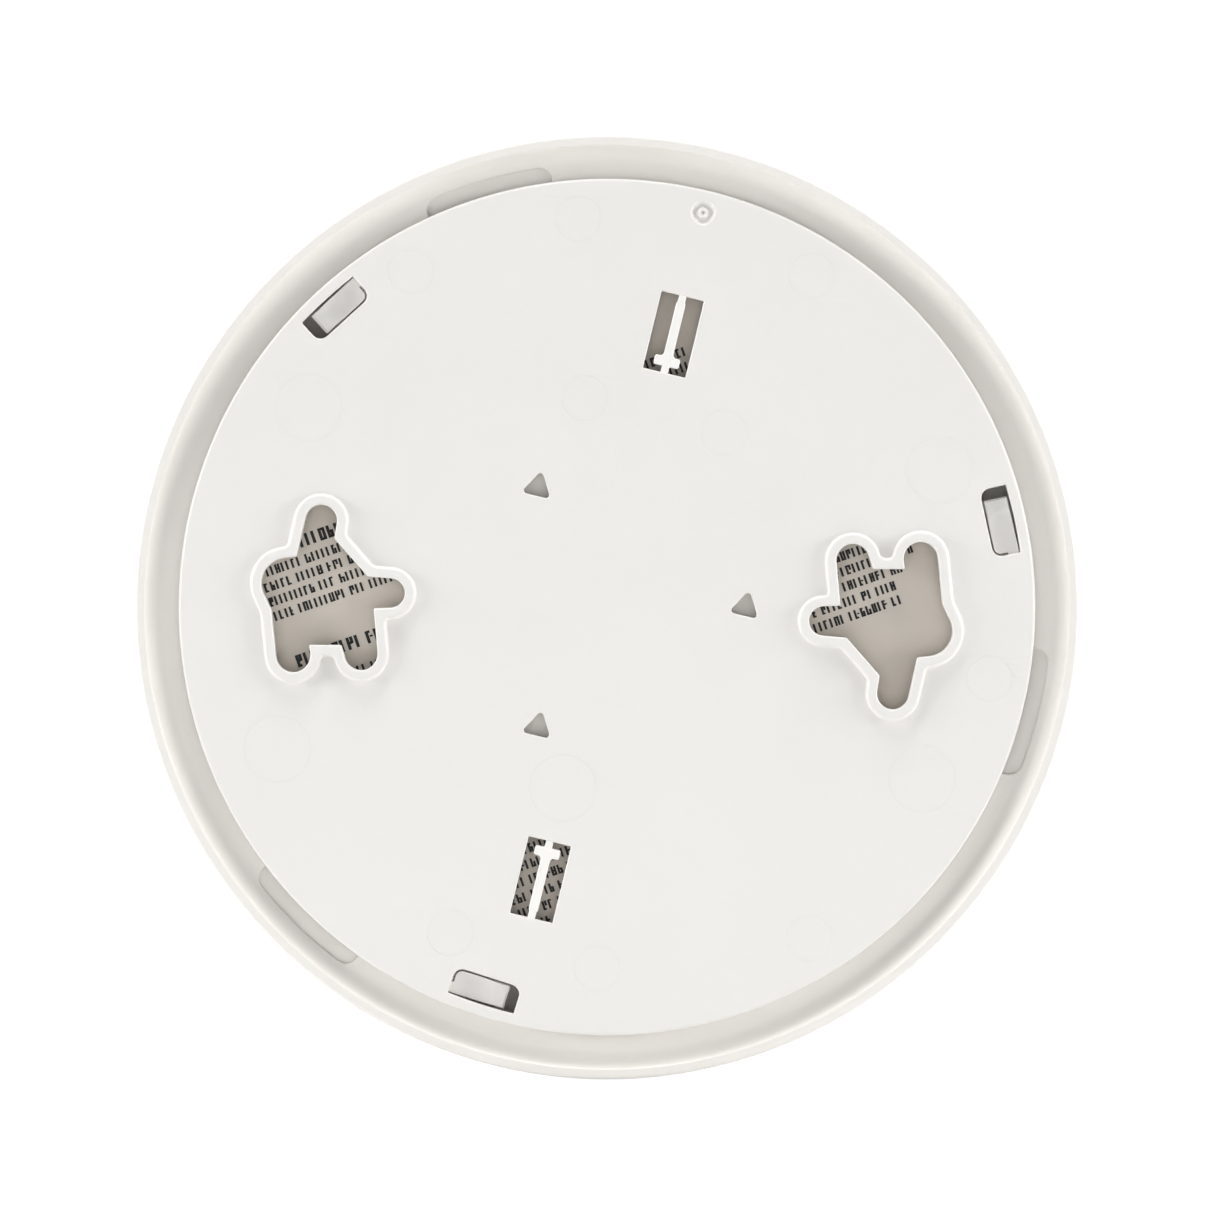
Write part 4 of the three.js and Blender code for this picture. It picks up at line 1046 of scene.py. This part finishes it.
def flared_down(radius, face, high):
    """As flared(), for a tool that breaks out of a face below it."""
    return [(radius, face - PAST), *edge(radius, face, 1, 1)[::-1], (0, high)]


def cover_openings():
    tools = Skin()
    half = VENTS["width"] / 2
    vent = rectangle(VENTS["inner"], -half, VENTS["outer"], half, VENTS["corner"])
    for i in range(VENTS["count"]):
        turn = (i + 0.5) * 360 / VENTS["count"]
        tools.prism(turned(vent, turn), [(0, FACE_OUTER - PAST), (0, VENTS["top"])])
    reach, middle = math.hypot(HORN["x"], HORN["y"]), math.degrees(math.atan2(HORN["y"], HORN["x"]))
    patch = HORN["radius"] - GRILLE["margin"]
    for step in GRILLE["offsets"]:
        ring = reach + step
        half = math.degrees(math.acos((ring**2 + reach**2 - patch**2) / (2 * ring * reach)))
        width = GRILLE["width"]
        bar = sector(ring - width / 2, ring + width / 2, middle - half, middle + half, width * 0.45)
        tools.prism(bar, flared_down(0.25, FACE_OUTER, FACE_INNER + PAST))
    eye = circle(LIGHT["radius"] + GAP, SMALL, LIGHT["x"], LIGHT["y"])
    tools.prism(eye, flared_down(0.25, FACE_OUTER, FACE_INNER + PAST))
    for turn in CASE_SCREW["angles"]:
        pilot = circle(CASE_SCREW["shank"] + 0.1, TINY, *polar(CASE_SCREW["ring"], turn))
        tools.prism(pilot, [(0, CASE_BOSS["pilot_end"]), (0, PAST)])
    return tools


def front_cover():
    hole = BUTTON["radius"] + BUTTON["play"]
    top = TRENCH_UNDER - GAP
    profile = filleted(
        [
            (hole, FACE_OUTER, 0.5),
            (55, FACE_OUTER, 3.2),
            (57.6, -38.5, 0.8),
            (69.4, -30.2, 5),
            (70.75, -16, 6),
            (70.9, PARTING - GAP, 0.35),
            (TONGUE["outer"], PARTING - GAP),
            (TONGUE["outer"], top, 0.2),
            (TONGUE["inner"], top, 0.2),
            (TONGUE["inner"], -14.5, 0.5),
            (68.6, -16, 1),
            (67.8, -27.5, 4),
            (56.2, -37, 2),
            (53, FACE_INNER, 2),
            (hole, FACE_INNER, 0.2),
        ]
    )
    skin = lathed(profile, segments=FINE, closed=True)
    inside = Skin()
    for turn in CASE_SCREW["angles"]:
        boss = circle(CASE_BOSS["cover"], SMALL, *polar(CASE_SCREW["ring"], turn))
        inside.prism(boss, solid_wall(FACE_INNER - MERGE, top))
    seat = circle(HORN["radius"] + HORN["seat_wall"], MEDIUM, HORN["x"], HORN["y"])
    bore = circle(HORN["radius"] + GAP, MEDIUM, HORN["x"], HORN["y"])
    low, high = FACE_INNER - MERGE, HORN["seat_top"]
    inside.prism(seat, solid_wall(low, high), [(bore, hole_wall(low, high))])
    skin.join(inside)
    skin.cut(cover_openings())
    return skin


def test_button():
    low = FACE_INNER + GAP
    top = low + BUTTON["flange_depth"]
    radius, post = BUTTON["radius"], BUTTON["post"]
    return spun(
        [
            (0, BUTTON_CROWN + BUTTON["dish"]),
            (5, BUTTON_CROWN + 0.8 * BUTTON["dish"], 8),
            (9.5, BUTTON_CROWN, 8),
            (13.2, BUTTON_CROWN + 0.2, 6),
            (15.5, BUTTON_CROWN + 1, 1.5),
            (radius, BUTTON_CROWN + 2, 0.6),
            (radius, low, 0.2),
            (BUTTON["flange"], low, 0.2),
            (BUTTON["flange"], top, 0.2),
            (radius - BUTTON["wall"], top, 0.3),
            (radius - BUTTON["wall"], FACE_INNER - 1, 0.5),
            (post, FACE_INNER - 1.5, 0.8),
            (post, BUTTON["post_end"], 0.3),
            (0, BUTTON["post_end"]),
        ],
        segments=MEDIUM,
    )


def light_pipe():
    radius, collar, end = LIGHT["radius"], LIGHT["collar"], PIPE["end"]
    low, high = FACE_INNER + PIPE["collar"], FACE_INNER + PIPE["collar_end"]
    profile = [
        (0, PIPE["tip"]), (radius, PIPE["rim"], 0.5), (radius, low), (collar, low, 0.2),
        (collar, high, 0.2), (radius, high), (radius, end, 0.2), (0, end),
    ]
    return spun(profile, LIGHT["x"], LIGHT["y"])


def status_led():
    radius, rim = LIGHT["radius"], LIGHT["radius"] + LED["foot_rim"]
    tip, under, foot = LED["tip"], LED["foot_under"], LED["foot"]
    profile = [(0, tip), (radius, tip, 1.3), (radius, under), (rim, under, 0.1), (rim, foot), (0, foot)]
    return spun(profile, LIGHT["x"], LIGHT["y"])


build("front_cover", front_cover(), WHITE_SHELL)
build("test_button", test_button(), WHITE_BUTTON)
build("light_pipe", light_pipe(), CLEAR)
build("status_led", status_led(), CLEAR)

# ---- Circuit board and what is soldered to it ----


def circuit_board():
    half = math.degrees(math.acos(BOARD_FLAT / BOARD_RADIUS))
    rim = arc(0, 0, BOARD_RADIUS, 90 - half, 90 + half, MEDIUM)
    wall = hole_wall(BOARD_FRONT, BOARD_BACK, 0.05, 0.05)
    holes = [(circle(BOARD_HOLE, TINY, x, y), wall) for x, y in BOARD_SCREWS]
    return prism(rim, solid_wall(BOARD_FRONT, BOARD_BACK, 0.05, 0.05), holes)


def tactile_switch():
    half, under = SWITCH["half"], SWITCH["under"]
    skin = prism(rectangle(-half, -half, half, half, 0.4), solid_wall(under, ON_BOARD, 0.1, 0.2))
    skin.cut(prism(circle(SWITCH["bore"], TINY), [(0, under - PAST), (0, SWITCH["bore_end"])]))
    return skin


def switch_plunger():
    radius, low, high = (PLUNGER[key] for key in ("radius", "low", "high"))
    return spun([(0, low), (radius, low, 0.3), (radius, high, 0.2), (0, high)])


def microcontroller():
    """A chip with a row of bent legs down each side and a dimple by its first leg."""
    x, y, body, half_length = CHIP["x"], CHIP["y"], CHIP["body"] / 2, CHIP["length"] / 2
    low, high = ON_BOARD - CHIP["height"], ON_BOARD - 0.15
    skin = prism(rectangle(x - body, y - half_length, x + body, y + half_length, 0.1), solid_wall(low, high))
    mark = circle(0.5, TINY, x - body + 1.2, y - half_length + 1.2)
    skin.cut(prism(mark, [(0, low - PAST), (0, low + 0.1)]))
    skin.material = 1
    middle, foot = (low + high) / 2, ON_BOARD - 0.1
    bends = ((body - 0.1, middle), (body + 0.2, middle), (body + 0.4, foot), (body + 0.8, foot))
    for side in (-1, 1):
        for i in range(CHIP["legs"]):
            along = y + (i - (CHIP["legs"] - 1) / 2) * CHIP["pitch"]
            path = [Vector((x + side * out, along, height)) for out, height in bends]
            skin.sweep(rectangle(-0.2, -0.08, 0.2, 0.08), path, Vector((0, 1, 0)))
    return skin


def horn_transformer():
    """A bobbin between two flanges, wound with copper."""
    x, y, flange, core = (TRANSFORMER[key] for key in ("x", "y", "flange", "core"))
    depth, tip = TRANSFORMER["flange_depth"], ON_BOARD - TRANSFORMER["height"]
    former = core - 0.5
    low, high = tip + depth, ON_BOARD - depth
    profile = [
        (0, tip), (flange, tip, 0.2), (flange, low, 0.2), (former, low), (former, high),
        (flange, high, 0.2), (flange, ON_BOARD, 0.2), (0, ON_BOARD),
    ]
    skin = spun(profile, x, y)
    skin.material = 1
    pitch = (high - low - 0.1) / TRANSFORMER["turns"]
    winding = [(former + 0.02, high - 0.05), (former + 0.02, low + 0.05)]
    for i in range(TRANSFORMER["turns"]):
        winding += arc(core - pitch / 2, low + 0.05 + (i + 0.5) * pitch, pitch / 2, -80, 80, 4)
    skin.lathe(winding, SMALL, x, y, closed=True)
    return skin


def capacitor():
    radius, tip = CAPACITOR["radius"], ON_BOARD - CAPACITOR["height"]
    profile = [
        (0, tip), (radius, tip, 0.5), (radius, ON_BOARD - 1.5, 0.2), (radius - 0.35, ON_BOARD - 1.1, 0.3),
        (radius, ON_BOARD - 0.7, 0.2), (radius, ON_BOARD, 0.2), (0, ON_BOARD),
    ]
    return spun(profile, CAPACITOR["x"], CAPACITOR["y"])


build("circuit_board", circuit_board(), BOARD_GREEN)
build("tactile_switch_body", tactile_switch(), BLACK_PLASTIC)
build("switch_plunger", switch_plunger(), BLACK_PLASTIC)
build("microcontroller", microcontroller(), BLACK_PLASTIC, STEEL)
build("horn_transformer", horn_transformer(), BLACK_PLASTIC, COPPER)
build("capacitor", capacitor(), BLACK_PLASTIC)

# ---- Optical chamber ----


def chamber_base():
    x, y, radius = CHAMBER["x"], CHAMBER["y"], CHAMBER["radius"]
    lip = radius - 0.6
    profile = [
        (0, CHAMBER_FLOOR), (lip, CHAMBER_FLOOR), (lip, CHAMBER_FLOOR - 1.6, 0.1),
        (radius, CHAMBER_FLOOR - 1.6, 0.1), (radius, BOARD_FRONT - 0.2, 0.2), (0, BOARD_FRONT - 0.2),
    ]
    skin = spun(profile, x, y, MEDIUM)
    blocks = Skin()
    half, reach, ring = SENSOR["half"], SENSOR["reach"], SENSOR["ring"]
    for turn in (EMITTER_TURN, RECEIVER_TURN):
        holder = moved(turned(rectangle(ring - reach, -half, ring + reach, half, 0.4), turn), x, y)
        blocks.prism(holder, solid_wall(SENSOR["height"] - SENSOR["drop"], CHAMBER_FLOOR + MERGE, bottom=0.3))
        at = polar(ring, turn)
        bore = through_bore(SENSOR["bore"], 2 * reach)
        blocks.cut(bore.lie(x + at[0], y + at[1], SENSOR["height"], turn))
    skin.join(blocks)
    return skin


def chamber_cap():
    """A lid with bent vanes that let smoke in and keep light out."""
    x, y, radius = CHAMBER["x"], CHAMBER["y"], CHAMBER["radius"]
    lip = radius - 0.6
    profile = [
        (0, CAP_UNDER - 2), (radius, CAP_UNDER - 2, 1), (radius, CAP_UNDER + 1.6, 0.1),
        (lip, CAP_UNDER + 1.6, 0.1), (lip, CAP_UNDER), (0, CAP_UNDER),
    ]
    skin = spun(profile, x, y, MEDIUM)
    vanes = Skin()
    reach, half = VANES["reach"], VANES["half"]
    blade = moved(turned(rectangle(-reach, -half, reach, half, 0.3), VANES["turn"]), VANES["ring"], 0)
    for i in range(VANES["count"]):
        vane = moved(turned(blade, i * 360 / VANES["count"]), x, y)
        vanes.prism(vane, solid_wall(CAP_UNDER - MERGE, CHAMBER_FLOOR - GAP))
    skin.join(vanes)
    return skin


def ring_piece(outer, inner, low, high, centre, corner=0.1):
    outline = [(x, y, corner) for x, y in ((inner, low), (outer, low), (outer, high), (inner, high))]
    return lathed(filleted(outline, steps=2), centre["x"], centre["y"], MEDIUM, closed=True)


def sensor_bulb(turn):
    profile = [(0, -3.6), (2.9, -3.6, 0.1), (2.9, -2.9, 0.1), (2.5, -2.9), (2.5, 3.2, 2.2), (0, 4.8)]
    at = polar(SENSOR["ring"] + 0.2, turn)
    return spun(profile).lie(CHAMBER["x"] + at[0], CHAMBER["y"] + at[1], SENSOR["height"], turn)


build("optical_chamber_base", chamber_base(), BLACK_PLASTIC)
build("optical_chamber_cap", chamber_cap(), BLACK_PLASTIC)
screen_outer = CHAMBER["radius"] - 0.8
screen = ring_piece(screen_outer, screen_outer - 0.3, CAP_UNDER + GAP, CHAMBER_FLOOR - GAP, CHAMBER, 0.05)
build("insect_screen", screen, STEEL_MESH)
build("infrared_emitter", sensor_bulb(EMITTER_TURN), CLEAR)
build("photodiode", sensor_bulb(RECEIVER_TURN), SMOKED)

# ---- Sounder ----


def horn_resonator():
    outer, inner = HORN["radius"], HORN["radius"] - HORN["wall"]
    corners = [
        (inner, FACE_INNER + GAP), (outer, FACE_INNER + GAP), (outer, -18.8), (inner, -18.8), (inner, -22.1),
        (12.8, -22.1), (12.8, -26), (3.5, -26), (3.5, -27.4), (inner, -27.4),
    ]
    profile = filleted([(*corner, 0.2) for corner in corners], steps=2)
    return lathed(profile, HORN["x"], HORN["y"], MEDIUM, closed=True)


def flat_disc(radius, low, high):
    profile = [(0, low), (radius, low, 0.05), (radius, high, 0.05), (0, high)]
    return spun(profile, HORN["x"], HORN["y"], MEDIUM, 2)


def horn_contact(x, tip):
    """A spring strip that bows out between the board and the sounder's disc."""
    x += HORN["x"]
    y, top = HORN["y"], BOARD_FRONT - 0.2
    path = curve_through([(x, y, top), (x + CONTACTS["bow"], y, (top + tip) / 2), (x, y, tip)], 8)
    wide, deep = CONTACTS["half_width"], CONTACTS["half_depth"]
    return bar(rectangle(-wide, -deep, wide, deep, 0.08), path, (0, 1, 0))


disc_radius = HORN["radius"] - 1.3
build("horn_resonator", horn_resonator(), WHITE_SHELL)
retainer = ring_piece(disc_radius, RETAINER["inner"], DISC_BACK + GAP, RETAINER["top"], HORN)
build("horn_retainer_ring", retainer, BLACK_PLASTIC)
build("piezo_disc", flat_disc(disc_radius, DISC_BACK - 0.25, DISC_BACK), BRASS)
build("piezo_ceramic", flat_disc(CERAMIC_RADIUS, DISC_BACK + 0.1, DISC_BACK + 0.4), CERAMIC)
build("horn_contact_1", horn_contact(-1, DISC_BACK + 0.6), STEEL)
build("horn_contact_2", horn_contact(6, DISC_BACK + 0.6), STEEL)
build("horn_contact_3", horn_contact(-11.7, DISC_BACK + 0.3), STEEL)

# ---- Cell, its tabs and wires, and the slider ----


def battery_cell():
    half, radius = CELL["length"] / 2, CELL["radius"]
    rim, step, button = half - CELL_END["rim"], half - CELL_END["step"], CELL_END["button"]
    profile = [
        (0, -half), (radius, -half, 0.8), (radius, rim, 0.3), (CELL_END["shoulder"], step, 0.3),
        (button, step, 0.2), (button, half, 0.3), (0, half),
    ]
    return spun(profile, segments=MEDIUM).lie(0, CELL["y"], CELL["z"], 180)


def battery_tab(side):
    near, far = sorted(side * (CELL["length"] / 2 + TAB[key]) for key in ("near", "far"))
    sheet = rectangle(near, CELL["y"] + TAB["low"], far, CELL["y"] + TAB["high"], 0.1)
    return prism(sheet, solid_wall(CELL["z"] - TAB["half"], CELL["z"] + TAB["half"], 0.05, 0.05))


def battery_wire(side):
    start = side * (CELL["length"] / 2 + WIRE["standoff"])
    y, z = CELL["y"], CELL["z"]
    points = [
        (start, y - 1, z), (start, y + 4, z - 1), (start + side * 1.5, y + 11, z - 2),
        (start + side * 2, y + 17, z - 1), (start + side * 2, y + 19, BOARD_FRONT - 0.4),
    ]
    return bar(circle(WIRE["radius"], 16), curve_through(points, 8), (1, 0, 0))


def activation_slider():
    ring, angle, rib = SLIDER["ring"], SLIDER["angle"], SLIDER["rib"] / 2 + GAP
    reach, half = CARRIAGE["reach"], CARRIAGE["half_width"]
    play = SLIDER["span"] / 2 + CARRIAGE["rib_play"]
    low, high = SLIDER["under"], PLATEAU_UNDER - GAP
    notch = sector(ring - rib, ring + rib, angle - play, angle + play, 0.2)
    carriage = sector(ring - half, ring + half, angle - reach, angle + reach, 0.5)
    return prism(carriage, solid_wall(low, high), [(notch, hole_wall(low, high))])


def slider_contact():
    """A bowed leaf under the slider that bridges two pads on the board."""
    x = -SLIDER["ring"] - 2.6
    pads, bow = -11.7, -10.2
    path = curve_through([(x, -3, pads), (x, -1.6, bow), (x, 1.6, bow), (x, 3, pads)], 6)
    return bar(rectangle(-0.6, -0.15, 0.6, 0.15, 0.05), path, (1, 0, 0))


build("battery_cell", battery_cell(), CELL_WRAP)
build("battery_tab_positive", battery_tab(1), STEEL)
build("battery_tab_negative", battery_tab(-1), STEEL)
build("battery_wire_red", battery_wire(1), RED_WIRE)
build("battery_wire_black", battery_wire(-1), BLACK_PLASTIC)
build("activation_slider", activation_slider(), BLACK_PLASTIC)
build("slider_contact", slider_contact(), BRASS)

# ---- Fasteners ----


def screw(x, y, head_top, side, size):
    """A pan-head screw with a ridged shank. side points from its tip to its head."""
    head, shank = size["head"], size["shank"]
    neck = head_top - side * size["depth"]
    tip = neck - side * size["length"]
    core = shank * RIDGES["core"]
    profile = [(0, tip), (shank * RIDGES["point"], tip), (core, tip + side * RIDGES["taper"])]
    for i in range(int((size["length"] - 2) / RIDGES["pitch"])):
        at = tip + side * (RIDGES["first"] + i * RIDGES["pitch"])
        profile += [(shank, at), (core, at + side * RIDGES["rise"])]
    profile += [(shank, neck), (head, neck, 0.15), (head, head_top, 0.6), (0, head_top)]
    skin, recess = spun(profile, x, y), Skin()
    low, high = sorted((head_top - side * CROSS["depth"], head_top + side * PAST))
    for w, h in ((CROSS["long"], CROSS["short"]), (CROSS["short"], CROSS["long"])):
        recess.prism(rectangle(x - w, y - h, x + w, y + h), [(0, low), (0, high)])
    skin.cut(recess)
    return skin


for number, turn in enumerate(CASE_SCREW["angles"], 1):
    made = screw(*polar(CASE_SCREW["ring"], turn), PLATEAU_TOP - 0.2, 1, CASE_SCREW)
    build(f"case_screw_{number}", made, STEEL)
for number, (x, y) in enumerate(BOARD_SCREWS, 1):
    made = screw(x, y, BOARD_FRONT - BOARD_SCREW["standoff"], -1, BOARD_SCREW)
    build(f"board_screw_{number}", made, STEEL)

# ---- Stage ----

FLOOR_SIZE = 6
CAMERA_DISTANCE = 1.0
FRAME_WIDTH = 0.1827  # how much of the rim's plane the picture spans
FILM_WIDTH = 36  # millimetres, as Blender's cameras state it
FLOOR_CLEARANCE = 0.0004
FLOOR_GLOW = 0.8  # how much of what the camera sees of the floor is backdrop, not lit floor
TENT_FALLOFF = {"From Min": 0.3, "From Max": 0.7, "To Min": 0.52, "To Max": 0.3}
TENT_HEIGHT = {"From Min": -0.4, "From Max": 0.9, "To Min": 0.7, "To Max": 1.1}
TENT_COLOUR = (0.965, 1, 1.04, 1)
BACKDROP = {"white": 1.3, "pale": 0.74}  # behind the alarm as it is seen squarely from behind, and elsewhere
SQUARELY = {"From Min": 0.93, "From Max": 0.985}


def stage_floor():
    """A pale floor with soft shadows, which glows for the camera alone to match the backdrop."""
    material, tree, surface = new_material("pale floor")
    tone = blend_colours(tree, noise(tree, 8, 3), (0.80, 0.80, 0.80), (0.84, 0.84, 0.84))
    feed(tree, surface, {"Base Color": tone, "Roughness": 0.9})
    incoming = add_node(tree, "ShaderNodeNewGeometry").outputs["Incoming"]
    squareness = add_node(tree, "ShaderNodeSeparateXYZ", Vector=incoming).outputs["Y"]
    glow = add_node(tree, "ShaderNodeEmission", Strength=backdrop_level(tree, squareness))
    camera_ray = add_node(tree, "ShaderNodeLightPath").outputs["Is Camera Ray"]
    share = multiplied(tree, camera_ray, FLOOR_GLOW)
    mix = add_node(tree, "ShaderNodeMixShader")
    feed(tree, mix, {0: share, 1: surface.outputs[0], 2: glow.outputs[0]})
    feed(tree, tree.nodes["Material Output"], {"Surface": mix.outputs[0]})
    data = bpy.data.meshes.new("floor")
    half = FLOOR_SIZE / 2
    level = CAD_BOX[0].z - FLOOR_CLEARANCE
    corners = [(x, y, level) for x, y in ((-half, -half), (half, -half), (half, half), (-half, half))]
    data.from_pydata(corners, [], [range(4)])
    floor = bpy.data.objects.new("floor", data)
    data.materials.append(material)
    bpy.context.scene.collection.objects.link(floor)
    floor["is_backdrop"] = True


def soft_box(name, place, size, power, aim=(0, 0, 0)):
    light = bpy.data.lights.new(name, "AREA")
    light.shape = "RECTANGLE"
    light.size, light.size_y = size
    light.energy = power
    holder = bpy.data.objects.new(name, light)
    holder.location = place
    holder.visible_camera = False
    holder.rotation_euler = (Vector(aim) - Vector(place)).to_track_quat("-Z", "Y").to_euler()
    bpy.context.scene.collection.objects.link(holder)


def backdrop_level(tree, squareness):
    """White where the camera looks squarely at the alarm's back, and pale grey elsewhere."""
    level = add_node(tree, "ShaderNodeMapRange", {"interpolation_type": "SMOOTHSTEP"}, Value=squareness)
    feed(tree, level, {**SQUARELY, "To Min": BACKDROP["pale"], "To Max": BACKDROP["white"]})
    return level.outputs["Result"]


def stage_world():
    """A light tent: brighter all round the alarm's edge than along its axis, and brighter from above.

    The camera sees the plain backdrop in its place.
    """
    world = bpy.data.worlds.new("light tent")
    bpy.context.scene.world = world
    world.use_nodes = True
    tree = world.node_tree
    direction = add_node(tree, "ShaderNodeTexCoord").outputs["Generated"]
    axes = add_node(tree, "ShaderNodeSeparateXYZ", Vector=direction)
    along = add_node(tree, "ShaderNodeMath", {"operation": "ABSOLUTE"})
    tree.links.new(axes.outputs["Y"], along.inputs[0])
    side = add_node(tree, "ShaderNodeMapRange", {"interpolation_type": "SMOOTHSTEP"}, Value=along.outputs[0])
    feed(tree, side, TENT_FALLOFF)
    height = feed(tree, add_node(tree, "ShaderNodeMapRange", Value=axes.outputs["Z"]), TENT_HEIGHT)
    lit = multiplied(tree, side.outputs[0], height.outputs[0])
    seen = backdrop_level(tree, multiplied(tree, axes.outputs["Y"], -1))
    camera_ray = add_node(tree, "ShaderNodeLightPath").outputs["Is Camera Ray"]
    strength = add_node(tree, "ShaderNodeMix", {"data_type": "FLOAT"})
    feed(tree, strength, {0: camera_ray, 2: lit, 3: seen})
    feed(tree, tree.nodes["Background"], {"Color": TENT_COLOUR, "Strength": strength.outputs[0]})


def stage_camera():
    lens = bpy.data.cameras.new("camera")
    lens.sensor_width = FILM_WIDTH
    lens.lens = FILM_WIDTH * CAMERA_DISTANCE / FRAME_WIDTH
    camera = bpy.data.objects.new("camera", lens)
    camera.location = (0, CAMERA_DISTANCE, 0)
    camera.rotation_euler = (math.radians(90), 0, math.radians(180))
    bpy.context.scene.collection.objects.link(camera)
    bpy.context.scene.camera = camera


stage_floor()
stage_world()
soft_box("top", (-0.1, 0.13, 1.05), (0.9, 0.2), 9)
for side in (-1, 1):
    soft_box("side", (side * 1.05, 0.13, 0.2), (0.9, 0.2), 9)
soft_box("front fill", (0.4, -0.9, 0.7), (0.8, 0.6), 2.5)
stage_camera()
bpy.context.scene.view_settings.view_transform = "Standard"

boxes = {"cad": CAD_BOX, "visual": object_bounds()}
{name: [list(corner) for corner in box] for name, box in boxes.items()}
